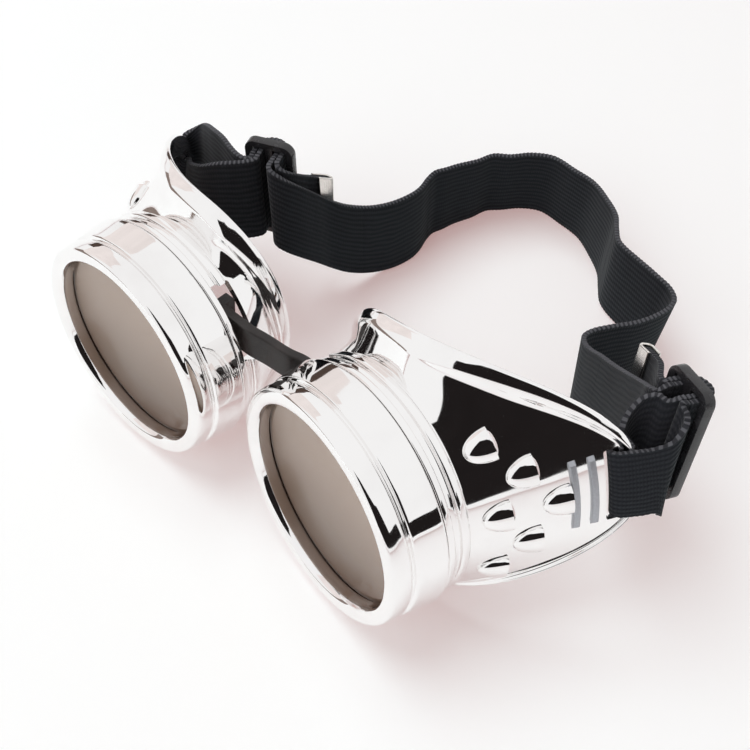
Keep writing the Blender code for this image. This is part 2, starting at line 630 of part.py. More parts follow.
# Nose bridge
def bridge():
    # A bar on edge from slot to slot; the thick head at each end sits inside its cup.
    up = (right["up"] + left["up"]).normalized()
    ends = []
    for cup in (left, right):
        height = (cup["hinge"] - cup["aperture"]).dot(cup["up"])
        top = height + BRIDGE_HEIGHT / 2
        near = math.sqrt(BRIDGE_SLOT_RADIUS ** 2 - height ** 2)
        wall = math.sqrt(COLLAR_BORE_RADIUS ** 2 - top ** 2) - BRIDGE_HEAD_GAP
        ends.append((cup["hinge"], cup["inward"], near - wall))
    (a, a_in, a_back), (b, b_in, b_back) = ends
    straight = (b - a).normalized()
    a_way = (a_in * 4 + straight).normalized()
    b_way = (b_in * 4 - straight).normalized()
    reach = (b - a).length
    lead = reach * 0.14
    head = BRIDGE_HEAD_LENGTH
    places = [(a - a_way * (a_back + head), BRIDGE_HEAD_THICKNESS),
              (a - a_way * a_back, BRIDGE_HEAD_THICKNESS), (a - a_way * a_back, BRIDGE_THICKNESS),
              (a, BRIDGE_THICKNESS), (a + a_way * lead, BRIDGE_THICKNESS),
              (a + (b - a) * 0.35, BRIDGE_THICKNESS), (a + (b - a) * 0.65, BRIDGE_THICKNESS),
              (b + b_way * lead, BRIDGE_THICKNESS), (b, BRIDGE_THICKNESS),
              (b - b_way * b_back, BRIDGE_THICKNESS),
              (b - b_way * b_back, BRIDGE_HEAD_THICKNESS),
              (b - b_way * (b_back + head), BRIDGE_HEAD_THICKNESS)]
    ways = [a_way] * 4 + [(a_way + straight).normalized(), straight, straight,
                          (straight - b_way).normalized()] + [-b_way] * 4
    middle = (a + b) / 2
    loops = []
    for (place, thickness), way in zip(places, ways):
        across = way.cross(up).normalized()
        if thickness == BRIDGE_HEAD_THICKNESS:
            place = place - across * BRIDGE_HEAD_SETBACK
        across *= thickness / 2
        rise = up * BRIDGE_HEIGHT / 2
        loops.append([place - across - rise - middle, place + across - rise - middle,
                      place + across + rise - middle, place - across + rise - middle])
    return add_object("nose_bridge", loft(loops, False), stand, middle,
                      material("bridge_rubber", (0.06, 0.05, 0.045), 0.5))


bridge()

# Sliders and strap
STRAND = STRAP_THICKNESS / 2
INNER_FOLD = SLIDER_BAR / 2 + STRAND_GAP + STRAND
OUTER_FOLD = INNER_FOLD + STRAP_THICKNESS + STRAP_GAP
WINDOW_END = OUTER_FOLD + STRAND + STRAND_GAP
SLIDER_HALF = WINDOW_END + SLIDER_END_BAR

# Where each slider lies from its cup's slot, in strap widths, and how it is turned.
SLIDER_PLACES_SHARES = {"right": (0.102, 0.701, 0.102), "left": (1.162, 0.375, 0.266)}
SLIDER_UPRIGHTS_SHARES = {"right": (-0.06, 0.20, 0.977), "left": (0.0, 0.0, 1.0)}
SLIDER_ALONGS_SHARES = {"right": (-0.88, 0.46, -0.08), "left": (0.924, 0.382, 0.0)}

# The loop's two strands from the slot to the slider: plan place from the slot in strap
# widths, then how far the band has opened from gathered (0) to its full width (1).
OUTER_STRAND_SHARES = {
    "right": ((0.283, 0.300, 0.40), (0.268, 0.386, 0.85), (0.215, 0.450, 1.0)),
    "left": ((-0.129, 0.361, 0.10), (-0.016, 0.407, 0.30), (0.188, 0.352, 0.60),
             (0.427, 0.265, 0.85), (0.678, 0.190, 1.00), (0.851, 0.134, 1.00),
             (0.981, 0.109, 1.00), (1.059, 0.114, 1.00))}
INNER_STRAND_SHARES = {
    "right": ((-0.075, 0.190, 0.10), (-0.130, 0.300, 0.40), (-0.130, 0.405, 0.80),
              (-0.060, 0.470, 1.0), (0.030, 0.470, 1.0)),
    "left": ((0.138, 0.047, 0.00), (0.266, -0.024, 0.15), (0.470, -0.125, 0.45),
             (0.714, -0.163, 0.75), (0.909, -0.102, 0.95), (1.056, 0.017, 1.00),
             (1.134, 0.120, 1.00))}

# The tails, plan place from the slider along and behind the line between the sliders, in
# shares of its length, then the drop in strap widths.
TAIL_SHARES = {
    "right": ((-0.0498, -0.0111, -0.02), (-0.0583, 0.0022, -0.06), (-0.0667, 0.0212, -0.11),
              (-0.0767, 0.0420, -0.17), (-0.0885, 0.0601, -0.24), (-0.1053, 0.0767, -0.31)),
    "left": ((0.0475, -0.0247, -0.02), (0.0576, -0.0204, -0.05), (0.0641, -0.0055, -0.11),
             (0.0639, 0.0179, -0.20), (0.0617, 0.0411, -0.29), (0.0609, 0.0680, -0.38))}

# The long strap from the left slider round to the right one: plan place along and behind
# the line between the sliders in shares of its length, then the lift of the lower edge
# and the lean of the upper edge in strap widths.
STRAP_ROUTE_SHARES = (
    (0.036, -0.040, 1.03, 0.00, 0.00), (0.049, -0.045, 1.02, 0.00, 0.00),
    (0.068, -0.036, 0.96, 0.00, 0.00), (0.082, -0.009, 0.83, 0.00, 0.00),
    (0.087, 0.035, 0.61, 0.00, 0.00), (0.089, 0.077, 0.39, 0.00, 0.00),
    (0.102, 0.123, 0.20, 0.00, 0.00), (0.123, 0.182, 0.06, 0.00, 0.00),
    (0.140, 0.236, 0.00, 0.00, 0.00), (0.153, 0.289, 0.00, 0.01, -0.01),
    (0.152, 0.320, 0.00, 0.02, -0.02), (0.141, 0.362, 0.00, 0.04, -0.04),
    (0.138, 0.389, 0.00, 0.05, -0.05), (0.149, 0.418, 0.00, 0.06, -0.06),
    (0.158, 0.449, 0.00, 0.08, -0.08), (0.180, 0.497, 0.00, 0.10, -0.10),
    (0.194, 0.543, 0.00, 0.11, -0.12), (0.222, 0.569, 0.00, 0.13, -0.14),
    (0.257, 0.609, 0.00, 0.13, -0.14), (0.302, 0.635, 0.00, 0.13, -0.14),
    (0.368, 0.631, 0.00, 0.13, -0.14), (0.430, 0.622, 0.00, 0.10, -0.12),
    (0.489, 0.590, 0.00, 0.08, -0.09), (0.538, 0.554, 0.00, 0.06, -0.06),
    (0.567, 0.516, 0.00, 0.04, -0.04), (0.592, 0.485, 0.00, 0.03, -0.02),
    (0.614, 0.473, 0.00, 0.02, 0.00), (0.655, 0.460, 0.00, 0.02, 0.02),
    (0.715, 0.442, 0.00, 0.03, 0.05), (0.754, 0.426, 0.00, 0.06, 0.08),
    (0.776, 0.404, 0.00, 0.07, 0.09), (0.781, 0.379, 0.00, 0.07, 0.09),
    (0.774, 0.342, 0.00, 0.06, 0.06), (0.756, 0.299, 0.00, 0.04, 0.04),
    (0.728, 0.257, 0.00, 0.01, 0.02), (0.708, 0.223, 0.00, -0.02, 0.00),
    (0.705, 0.198, 0.01, -0.04, 0.00), (0.719, 0.177, 0.04, -0.04, 0.00),
    (0.744, 0.154, 0.13, -0.03, 0.01), (0.779, 0.125, 0.29, -0.02, 0.02),
    (0.814, 0.098, 0.43, -0.02, 0.03), (0.847, 0.071, 0.57, -0.03, 0.06),
    (0.892, 0.029, 0.80, -0.04, 0.10), (0.926, -0.006, 0.99, -0.05, 0.14),
    (0.945, -0.029, 1.11, -0.06, 0.17), (0.959, -0.036, 1.16, -0.06, 0.20))
LEFT_SPLIT_SHARES = (0.153, 0.289)
RIGHT_SPLIT_SHARES = (0.567, 0.516)


def slot_axes(cup):
    # The middle of the strap slot and the cup's rearward, upward and outward ways there.
    side = cup["side"]
    ways = [cup["turn"] @ Vector((side * v.x, v.y, v.z))
            for v in wall_frame(TEMPLE_ANGLE, STRAP_SLOT_DEPTH)]
    return [cup["aperture"] + ways[0]] + ways[1:]


def slider_frame(label, slot):
    place = slot + Vector(SLIDER_PLACES_SHARES[label]) * STRAP_WIDTH
    upright = Vector(SLIDER_UPRIGHTS_SHARES[label]).normalized()
    along = Vector(SLIDER_ALONGS_SHARES[label])
    along = (along - upright * along.dot(upright)).normalized()
    out = along.cross(upright) if label == "right" else upright.cross(along)
    return place, along, upright, out


def slider(label, frame, mat):
    # A flat frame with rounded corners, two windows and a bar between them.
    place, along, upright, out = frame
    bm = bmesh.new()
    bmesh.ops.create_cube(bm, size=1)
    for vert in bm.verts:
        vert.co = Vector((vert.co.x * 2 * SLIDER_HALF, vert.co.y * SLIDER_THICKNESS,
                          vert.co.z * SLIDER_HEIGHT))
    corners = [e for e in bm.edges if abs(e.verts[0].co.y - e.verts[1].co.y) > SLIDER_THICKNESS / 2]
    bmesh.ops.bevel(bm, geom=corners, offset=SLIDER_CORNER, segments=4, profile=0.5,
                    affect='EDGES')
    sideways = out.cross(upright)
    pivot = empty("slider_travel_" + label, stand, place,
                  Matrix((sideways, out, upright)).transposed())
    obj = add_object("strap_slider_" + label, bm, pivot, mat=mat)
    edge = obj.modifiers.new("edge", 'BEVEL')
    edge.width = SLIDER_EDGE
    edge.segments = 1
    edge.limit_method = 'ANGLE'
    edge.angle_limit = math.radians(50)
    tall = STRAP_WIDTH / 2 + SLIDER_WINDOW_MARGIN
    for sign in (-1, 1):
        low = sorted((sign * SLIDER_BAR / 2, sign * WINDOW_END))
        cut = add_object("slider_window_%s_%d" % (label, sign + 1),
                         box_shape((low[0], -CUT_OVERRUN, -tall), (low[1], CUT_OVERRUN, tall)),
                         pivot, cutter=True)
        boolean(obj, cut, 'DIFFERENCE')
    return pivot


def row(place, half, bow=(0, 0, 0)):
    return [*place, *half, *bow]


def shifted(rows, at_start, amount):
    # Draws one end back along the path, which leaves the gap between two bands.
    rows = np.array(rows, float)
    a, b = (0, 1) if at_start else (-1, -2)
    way = rows[b][:3] - rows[a][:3]
    rows[a][:3] += way / np.linalg.norm(way) * amount
    return rows


def build_side(cup, label, span):
    spot, rearward, around, outward = wall_frame(TEMPLE_ANGLE, STRAP_SLOT_DEPTH)
    slot, m, c, n = slot_axes(cup)
    frame = slider_frame(label, slot)
    place, along, upright, out = frame
    black = material("slider_plastic_" + label, BLACK, 0.35)
    pivot = slider(label, frame, black)
    full = upright * STRAP_WIDTH / 2
    gathered = c * STRAP_GATHERED_WIDTH / 2
    reach = wall_point(TEMPLE_ANGLE, STRAP_SLOT_DEPTH).xz.length
    edge_of_web = wall_point(TEMPLE_ANGLE + STRAP_GATHERED_WIDTH / 2 / reach, STRAP_SLOT_DEPTH)
    bow = (spot - edge_of_web).dot(outward)
    web = material("elastic_web_" + label, BLACK, 0.9)

    def in_slot(along_m, along_n, share=1.0):
        base = slot + m * along_m + n * (along_n - WALL / 2 - bow * share)
        return row(base, gathered, n * bow * share)

    def opened(x_share, y_share, width_share):
        width = gathered.lerp(full, width_share).normalized()
        width *= gathered.length * (1 - width_share) + full.length * width_share
        base = Vector((slot.x + x_share * STRAP_WIDTH, slot.y + y_share * STRAP_WIDTH,
                       slot.z * (1 - width_share) + place.z * width_share))
        return row(base, width)

    def in_slider(s, u):
        return row(place + along * s + out * u, full)

    # loop: inner strand, round the end bar of the cup, outer strand
    turn_radius = WALL / 2 + STRAP_GAP + STRAND
    centre = STRAP_SLOT_WIDTH / 2 + STRAP_GAP
    inner = [in_slider(-INNER_FOLD, -STRAND_EXIT), in_slider(-INNER_FOLD, -STRAND_EXIT * 1.5)]
    inner += [opened(*shares) for shares in reversed(INNER_STRAND_SHARES[label])]
    first = 90 if label == "right" else 15
    if label == "right":
        inner.append(in_slot(centre, -turn_radius, 1.0))
    else:
        inner.append(in_slot(centre - turn_radius, -turn_radius * 0.75, 0.9))
        inner.append(in_slot(centre - turn_radius, -turn_radius * 0.25, 1.0))
    arc = []
    for degrees in range(first + 15, 270 if label == "left" else 271, 15):
        angle = math.radians(degrees)
        if label == "left" and degrees < 180:
            continue
        arc.append(in_slot(centre + turn_radius * math.cos(angle),
                           -turn_radius * math.sin(angle)))
    outer = [in_slot(centre, turn_radius),
             in_slot(centre + STRAP_SLOT_WIDTH, turn_radius + STRAP_GAP * 3, 1.0),
             in_slot(centre + STRAP_SLOT_WIDTH * 1.8, turn_radius + STRAP_GAP * 4, 0.5)]
    outer += [opened(*shares) for shares in OUTER_STRAND_SHARES[label]]
    outer += [in_slider(-OUTER_FOLD, -STRAND_EXIT * 1.5), in_slider(-OUTER_FOLD, -STRAND_EXIT)]
    arc = [a for a in arc if a[:3] != outer[0][:3]]
    keys = inner + arc + (outer[1:] if label == "right" else outer)
    strip("strap_loop_" + label, smooth_path(keys, LOOP_STEP), stand, web, 4, STRAP_THICKNESS)

    # wrap round the middle bar of the slider
    inset = STRAND_EXIT - STRAP_GAP
    rows = [in_slider(INNER_FOLD, -inset), in_slider(INNER_FOLD, FOLD_CENTRE)]
    rows += [in_slider(INNER_FOLD * math.cos(math.radians(d)),
                       FOLD_CENTRE + INNER_FOLD * math.sin(math.radians(d)))
             for d in range(30, 180, 30)]
    rows += [in_slider(-INNER_FOLD, FOLD_CENTRE), in_slider(-INNER_FOLD, -inset)]
    strip("strap_wrap_" + label, rows, stand, web, 2, STRAP_THICKNESS)

    # tail: over the wrap, back through the other window and away behind the long strap
    rows = [in_slider(-OUTER_FOLD, -inset), in_slider(-OUTER_FOLD, FOLD_CENTRE)]
    rows += [in_slider(-OUTER_FOLD * math.cos(math.radians(d)),
                       FOLD_CENTRE + OUTER_FOLD * math.sin(math.radians(d)))
             for d in range(20, 180, 20)]
    rows += [in_slider(OUTER_FOLD, FOLD_CENTRE)]
    away = [in_slider(OUTER_FOLD, -inset), in_slider(OUTER_FOLD, -STRAND_EXIT * 1.3)]
    behind = Vector((-span.y, span.x, 0))
    for x_share, y_share, drop_share in TAIL_SHARES[label]:
        plan = Vector((span.x, span.y, 0)) * x_share + behind * y_share
        drop = Vector((0, 0, drop_share * STRAP_WIDTH))
        away.append(row(place + plan + drop, full))
    grip = STRAND + CLIP_GAP + CLIP_THICKNESS / 2
    way = (Vector(away[-1][:3]) - Vector(away[-2][:3])).normalized()
    end = Vector(away[-1][:3])
    last = end + way * (CLIP_LENGTH - grip - CLIP_GAP - CLIP_THICKNESS)
    path = list(smooth_path(away, STRAP_STEP)) + [np.array(row(last, full))]
    rows += [list(r) for r in path]
    strip("strap_tail_" + label, rows, stand, web, 2, STRAP_THICKNESS)

    # folded metal clip round the end of the tail
    across = way.cross(upright).normalized() * grip
    tall = upright * (STRAP_WIDTH / 2 + CLIP_OVERHANG)
    bend = end + way * (CLIP_LENGTH - grip)
    rows = [row(end + across, tall), row(bend + across, tall)]
    for d in range(30, 180, 30):
        angle = math.radians(d)
        rows.append(row(bend + across * math.cos(angle) + way * grip * math.sin(angle), tall))
    rows += [row(bend - across, tall), row(end - across, tall)]
    strip("tail_clip_" + label, rows, stand, material("clip_steel_" + label, STEEL, 0.2, 1.0),
          2, CLIP_THICKNESS)
    return frame, full


sliders_apart = (slider_frame("right", slot_axes(right)[0])[0]
                 - slider_frame("left", slot_axes(left)[0])[0])
left_frame, left_full = build_side(left, "left", sliders_apart)
right_frame, right_full = build_side(right, "right", sliders_apart)


def long_strap():
    left_place, left_along, left_up, left_out = left_frame
    right_place, right_along, right_up, right_out = right_frame
    span = right_place - left_place
    behind = Vector((-span.y, span.x, 0))
    keys = []
    for x_share, y_share, lift_share, lean_x_share, lean_y_share in STRAP_ROUTE_SHARES:
        lean = Vector((lean_x_share, lean_y_share, 0)) * STRAP_WIDTH / 2
        half = Vector((lean.x, lean.y, math.sqrt((STRAP_WIDTH / 2) ** 2 - lean.length ** 2)))
        plan = left_place + Vector((span.x, span.y, 0)) * x_share + behind * y_share
        keys.append(row((plan.x, plan.y, STRAP_TABLE_GAP + lift_share * STRAP_WIDTH + half.z),
                        half))
    start = [row(left_place + left_along * INNER_FOLD - left_out * u, left_full)
             for u in (STRAND_EXIT, STRAND_EXIT * 1.4)]
    finish = [row(right_place + right_along * INNER_FOLD - right_out * u, right_full)
              for u in (STRAND_EXIT * 1.4, STRAND_EXIT)]
    keys = start + keys + finish
    rows = smooth_path(keys, STRAP_STEP)
    marks = []
    for x_share, y_share in (LEFT_SPLIT_SHARES, RIGHT_SPLIT_SHARES):
        spot = left_place + Vector((span.x, span.y, 0)) * x_share + behind * y_share
        marks.append(int(np.argmin(np.hypot(rows[:, 0] - spot.x, rows[:, 1] - spot.y))))
    a, b = marks
    half = STRAP_GAP / 2
    pieces = (("strap_main_left", shifted(rows[:a + 1], False, half)),
              ("strap_centre", shifted(shifted(rows[a:b + 1], True, half), False, half)),
              ("strap_main_right", shifted(rows[b:], True, half)))
    for name, part in pieces:
        strip(name, part, stand, material(name + "_web", BLACK, 0.9), 2, STRAP_THICKNESS)


long_strap()
bpy.context.view_layer.update()
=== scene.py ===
# %% [markdown]
# Round goggles with two chromed eye cups, screw-on lens rings and an elastic strap.
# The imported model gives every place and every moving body. This lesson puts smooth,
# finely shaped pieces on it, one kind after the other, and paints each with nodes.
# All lengths are metres, and the lists of places are written in millimetres.

# %% The fixed frame
import math

import bpy
import numpy as np
from mathutils import Matrix, Vector


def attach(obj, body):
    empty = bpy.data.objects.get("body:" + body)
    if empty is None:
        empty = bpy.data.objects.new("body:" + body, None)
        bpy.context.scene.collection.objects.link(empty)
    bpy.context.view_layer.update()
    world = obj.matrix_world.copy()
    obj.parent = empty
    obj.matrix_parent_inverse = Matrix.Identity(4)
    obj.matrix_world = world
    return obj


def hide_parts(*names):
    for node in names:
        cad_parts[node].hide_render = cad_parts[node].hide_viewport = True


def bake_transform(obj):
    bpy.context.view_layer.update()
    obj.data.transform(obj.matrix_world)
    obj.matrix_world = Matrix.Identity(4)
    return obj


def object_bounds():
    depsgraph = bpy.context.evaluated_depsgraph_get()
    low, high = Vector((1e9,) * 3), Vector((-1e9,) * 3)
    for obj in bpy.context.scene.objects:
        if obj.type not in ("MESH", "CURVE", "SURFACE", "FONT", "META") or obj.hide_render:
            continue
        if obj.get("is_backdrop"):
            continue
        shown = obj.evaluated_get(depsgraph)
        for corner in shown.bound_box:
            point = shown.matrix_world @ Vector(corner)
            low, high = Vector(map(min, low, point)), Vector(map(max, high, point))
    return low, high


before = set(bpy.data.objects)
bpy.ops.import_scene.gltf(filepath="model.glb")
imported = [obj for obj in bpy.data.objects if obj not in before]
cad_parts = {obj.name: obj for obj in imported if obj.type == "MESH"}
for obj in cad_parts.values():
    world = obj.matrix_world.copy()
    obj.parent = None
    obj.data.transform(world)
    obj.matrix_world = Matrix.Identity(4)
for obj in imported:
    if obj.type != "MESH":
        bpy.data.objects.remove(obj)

cad_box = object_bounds()
MM = 0.001
FULL_TURN = 2 * math.pi

# %% [markdown]
# The camera looks down on the goggles from their right front corner, and the picture is
# square. Its place and its three axes were worked out from the two round lenses, which
# are seen as ellipses.

# %% Camera
VIEW_PLACE = Vector((0.11011, -0.14155, 0.21755))
VIEW_RIGHT = Vector((0.7445, 0.6676, 0.0033))
VIEW_UP = Vector((-0.5235, 0.5808, 0.6234))
VIEW_BACK = Vector((0.4142, -0.4659, 0.7819))

view = bpy.data.objects.new("table_view", bpy.data.cameras.new("table_view"))
bpy.context.scene.collection.objects.link(view)
axes = Matrix((VIEW_RIGHT, VIEW_UP, VIEW_BACK)).transposed().to_4x4()
view.matrix_world = Matrix.Translation(VIEW_PLACE) @ axes
view.data.lens = 49.06
view.data.sensor_width = 36.0
view.data.clip_start = 0.01
bpy.context.scene.camera = view
print("camera stands", round(VIEW_PLACE.length, 3), "m from the goggles")

# %% [markdown]
# A finish is a material with one Principled shader. Shader sums are written as Python
# expressions: a Wire holds one output socket, and adding or multiplying Wires adds the
# Math nodes. Every other node comes from one method, which sets the node's own settings
# first and its sockets after them.

# %% Wires and finishes
def feed(slot, value):
    # A socket takes a Wire or a plain value.
    if isinstance(value, Wire):
        slot.id_data.links.new(value.socket, slot)
    else:
        slot.default_value = value


class Wire:
    def __init__(self, socket):
        self.socket = socket

    def math(self, operation, first, second):
        node = self.socket.id_data.nodes.new("ShaderNodeMath")
        node.operation = operation
        for slot, value in zip(node.inputs, (first, second)):
            feed(slot, value)
        return Wire(node.outputs[0])

    def __add__(self, other):
        return self.math("ADD", self, other)

    def __mul__(self, other):
        return self.math("MULTIPLY", self, other)

    def __sub__(self, other):
        return self.math("SUBTRACT", self, other)

    def __rsub__(self, other):
        return self.math("SUBTRACT", other, self)


class Finish:
    def __init__(self, name, colour, roughness, metallic=0.0, **constants):
        self.material = bpy.data.materials.new(name)
        self.material.use_nodes = True
        self.tree = self.material.node_tree
        self.shader = self.tree.nodes["Principled BSDF"]
        self.set("Base Color", (*colour, 1.0))
        self.set("Roughness", roughness)
        self.set("Metallic", metallic)
        for socket, value in constants.items():
            self.set(socket.replace("_", " "), value)

    def set(self, socket, value):
        feed(self.shader.inputs[socket], value)

    def node(self, kind, settings, sockets, output=0):
        made = self.tree.nodes.new("ShaderNode" + kind)
        for key, value in settings.items():
            setattr(made, key, value)
        for key, value in sockets.items():
            feed(made.inputs[key], value)
        return Wire(made.outputs[output])

    def place(self):
        return self.node("TexCoord", {}, {}, "Object")

    def along(self):
        # Metres along a band and share across it, from the band's own map.
        spread = self.node("SeparateXYZ", {}, {0: self.node("UVMap", {"uv_map": "band"}, {})})
        return spread, Wire(spread.socket.node.outputs[1])

    def grain(self, size, detail=2.0, where=None):
        sockets = {"Vector": where or self.place(), "Scale": 1.0 / size, "Detail": detail}
        return self.node("TexNoise", {}, sockets)

    def mixed(self, mask, first, second):
        return self.node("Mix", {"data_type": "RGBA"},
                         {0: mask, 6: (*first, 1.0), 7: (*second, 1.0)}, 2)

    def step(self, value, low, high):
        return self.node("MapRange", {"interpolation_type": "SMOOTHSTEP"},
                         {"Value": value, 1: low, 2: high, 3: 0.0, 4: 1.0})

    def relief(self, height, depth):
        self.set("Normal", self.node("Bump", {}, {"Height": height, "Distance": depth,
                                                  "Strength": 1.0}))


def finished(piece, finish):
    piece.data.materials.clear()
    piece.data.materials.append(finish.material)


# %% [markdown]
# The cups and rings are moulded plastic with a mirror coat of metal. Moulded plastic is
# never quite flat, so a faint slow wave bends what the mirror shows. The coat is a little
# warm, and a thin haze of handling changes its gloss from place to place. The two ribs
# of each wall come from a rough part of the mould and look satin.

# %% Mirror coat
def mirror_finish(name, roughness):
    finish = Finish(name, (0.93, 0.92, 0.915), roughness, 1.0)
    haze = finish.step(finish.grain(0.011, 4.0), 0.42, 0.75)
    finish.set("Roughness", haze * 0.035 + roughness)
    finish.set("Base Color", finish.mixed(haze, (0.94, 0.93, 0.925), (0.90, 0.885, 0.88)))
    finish.relief(finish.grain(0.009, 1.0) + finish.grain(0.0011, 1.0) * 0.02, 0.00005)
    return finish


CUP_MIRROR = mirror_finish("mirror_coat_cup", 0.045)
RING_MIRROR = mirror_finish("mirror_coat_ring", 0.035)

RIB_SATIN = Finish("satin_coat_ribs", (0.42, 0.43, 0.46), 0.42, 1.0)
grit = RIB_SATIN.grain(0.0005, 3.0)
RIB_SATIN.set("Roughness", grit * 0.2 + 0.32)
RIB_SATIN.set("Base Color", RIB_SATIN.mixed(grit, (0.34, 0.35, 0.38), (0.52, 0.53, 0.56)))
RIB_SATIN.relief(grit, 0.00002)

# %% [markdown]
# The lenses are dark taupe glass that lets a little light through. Their colour is painted
# lighter toward the top and darker below, as painted shading of the light from above, so the
# colour follows the height.

# %% Tinted glass
GLASS = Finish("taupe_glass", (0.30, 0.235, 0.205), 0.30, 0.0, IOR=1.45,
               Transmission_Weight=0.10, Specular_IOR_Level=0.35)
height = GLASS.node("SeparateXYZ", {}, {0: GLASS.place()}, 2)
# painted shade: the glass colour darkens low down and lightens up high, as the overhead light
# falls
painted_shade_by_height = GLASS.step(height, 0.006, 0.050)
GLASS.set("Base Color", GLASS.mixed(painted_shade_by_height, (0.215, 0.142, 0.107), (0.585, 0.420, 0.345)))
GLASS.set("Roughness", GLASS.grain(0.006) * 0.06 + 0.22)

# %% [markdown]
# The gaskets and the nose bridge are soft rubber. Rubber is matt, with a fine grain from
# its mould and a paler bloom on its worn places.

# %% Rubbers
def rubber_finish(name, dark, pale):
    finish = Finish(name, dark, 0.5)
    bloom = finish.step(finish.grain(0.004, 3.0), 0.45, 0.8)
    finish.set("Base Color", finish.mixed(bloom, dark, pale))
    finish.set("Roughness", bloom * 0.15 + 0.42)
    finish.relief(finish.grain(0.0004, 3.0), 0.00006)
    return finish


BRIDGE_RUBBER = rubber_finish("bridge_rubber", (0.018, 0.014, 0.013), (0.038, 0.031, 0.029))
GASKET_RUBBER = rubber_finish("gasket_rubber", (0.012, 0.012, 0.012), (0.030, 0.030, 0.030))

# %% [markdown]
# The strap is knitted elastic: black yarn over rubber threads. Soft ribs run along the band and
# wander a little, and fine stitches cross them. Pale dashes painted along both edges stand for
# glints of light on the small edge loops. The pattern follows the band's own map, so it bends
# with the strap.

# %% Knitted elastic
WALES = 15
STITCH_PITCH = 0.0007
EDGE_PITCH = 0.0011
WEB = Finish("knitted_elastic", (0.012, 0.012, 0.013), 0.85, 0.0, Sheen_Weight=0.08,
             Sheen_Roughness=0.5, Specular_IOR_Level=0.2)
run, across = WEB.along()


def wave(turns):
    return WEB.node("Math", {"operation": "SINE"}, {0: turns * FULL_TURN})


wander = WEB.grain(0.006, 2.0) * 0.8
wale = wave(across * WALES + wander)
stitch = wave(run * (1 / STITCH_PITCH) + wale * 0.15)
from_edge = WEB.node("Math", {"operation": "ABSOLUTE"}, {0: across - 0.5})
# painted highlight: pale dashes along the edges stand for glints of light on the edge loops
painted_edge_glint = WEB.step(wave(run * (1 / EDGE_PITCH)), -0.3, 0.5)
edge_row = WEB.step(from_edge, 0.486, 0.495)
lint = WEB.step(WEB.grain(0.0025, 5.0), 0.62, 0.80)
yarn = wale * 0.5 + stitch * 0.22 + 0.5
# The edge dashes are painted glints of light; the ribs, stitches and lint are the yarn's own
# colour.
shade = WEB.step(yarn, 0.0, 1.3) * 0.18 + edge_row * painted_edge_glint * 0.9 + lint * 0.06
WEB.set("Base Color", WEB.mixed(shade, (0.0130, 0.0132, 0.0170), (0.090, 0.090, 0.100)))
WEB.set("Roughness", 0.92 - edge_row * 0.25)
WEB.relief(yarn, 0.00010)

# %% [markdown]
# The sliders are moulded in hard black plastic with a faint spark-eroded texture, rubbed
# smoother on their faces. The clips are folded from bright rolled steel, whose fine lines
# run along the sheet.

# %% Slider plastic and clip steel
HARD_PLASTIC = Finish("hard_black_plastic", (0.012, 0.012, 0.013), 0.3)
wear = HARD_PLASTIC.step(HARD_PLASTIC.grain(0.003, 4.0), 0.5, 0.8)
HARD_PLASTIC.set("Roughness", wear * 0.2 + 0.24)
HARD_PLASTIC.set("Base Color", HARD_PLASTIC.mixed(wear, (0.020, 0.019, 0.021),
                                                  (0.048, 0.045, 0.049)))
HARD_PLASTIC.relief(HARD_PLASTIC.grain(0.0003, 2.0), 0.00002)

CLIP_STEEL = Finish("bright_clip_steel", (0.80, 0.78, 0.74), 0.18, 1.0)
lines = CLIP_STEEL.node("Mapping", {}, {"Vector": CLIP_STEEL.place(),
                                        "Scale": (9.0, 9.0, 0.5)})
scratch = CLIP_STEEL.grain(0.0016, 4.0, lines)
CLIP_STEEL.set("Roughness", scratch * 0.22 + 0.10)
CLIP_STEEL.set("Base Color", CLIP_STEEL.mixed(CLIP_STEEL.step(scratch, 0.3, 0.7),
                                              (0.72, 0.69, 0.64), (0.90, 0.88, 0.85)))
CLIP_STEEL.relief(scratch, 0.00003)

# %% [markdown]
# Nearly every piece here is a sheet or a tube with a changing section. Both start as a
# grid, added with its rows along the piece and its columns round the section. The grid's
# points are then set one by one, and a tube's meeting edges are merged.

# %% A grid laid on a shape
def mode(kind):
    bpy.ops.object.mode_set(mode=kind)


def laid_grid(name, rows, columns, place, merge=0.0):
    # place(row, column) gives a point; rows and columns count the grid's faces.
    bpy.ops.mesh.primitive_grid_add(x_subdivisions=columns, y_subdivisions=rows, size=2)
    piece = bpy.context.object
    piece.name = piece.data.name = name
    count = len(piece.data.vertices)
    flat = np.empty(count * 3)
    piece.data.vertices.foreach_get("co", flat)
    flat = flat.reshape(-1, 3)
    column = np.rint((flat[:, 0] + 1) / 2 * columns).astype(int)
    row = np.rint((flat[:, 1] + 1) / 2 * rows).astype(int)
    for index in range(count):
        flat[index] = place(row[index], column[index])
    piece.data.vertices.foreach_set("co", flat.ravel())
    if merge:
        mode('EDIT')
        bpy.ops.mesh.select_all(action='SELECT')
        bpy.ops.mesh.remove_doubles(threshold=merge)
        bpy.ops.mesh.normals_make_consistent(inside=False)
        mode('OBJECT')
    return piece


def applied(piece, kind, **settings):
    bpy.context.view_layer.objects.active = piece
    change = piece.modifiers.new(kind.lower(), kind)
    for key, value in settings.items():
        setattr(change, key, value)
    bpy.ops.object.modifier_apply(modifier=change.name)


def bevelled(piece, width, segments, degrees):
    applied(piece, 'BEVEL', width=width, segments=segments, limit_method='ANGLE',
            angle_limit=math.radians(degrees))


def cut_out(piece, tool):
    applied(piece, 'BOOLEAN', operation='DIFFERENCE', solver='EXACT', object=tool)
    bpy.data.objects.remove(tool, do_unlink=True)


def pick(*pieces):
    # These pieces alone are selected, and the first is the active one.
    bpy.ops.object.select_all(action='DESELECT')
    for piece in pieces:
        piece.select_set(True)
    bpy.context.view_layer.objects.active = pieces[0]


def smooth(piece, degrees):
    pick(piece)
    bpy.ops.object.shade_smooth_by_angle(angle=math.radians(degrees))


def joined(*pieces):
    pick(*pieces)
    bpy.ops.object.join()
    return pieces[0]


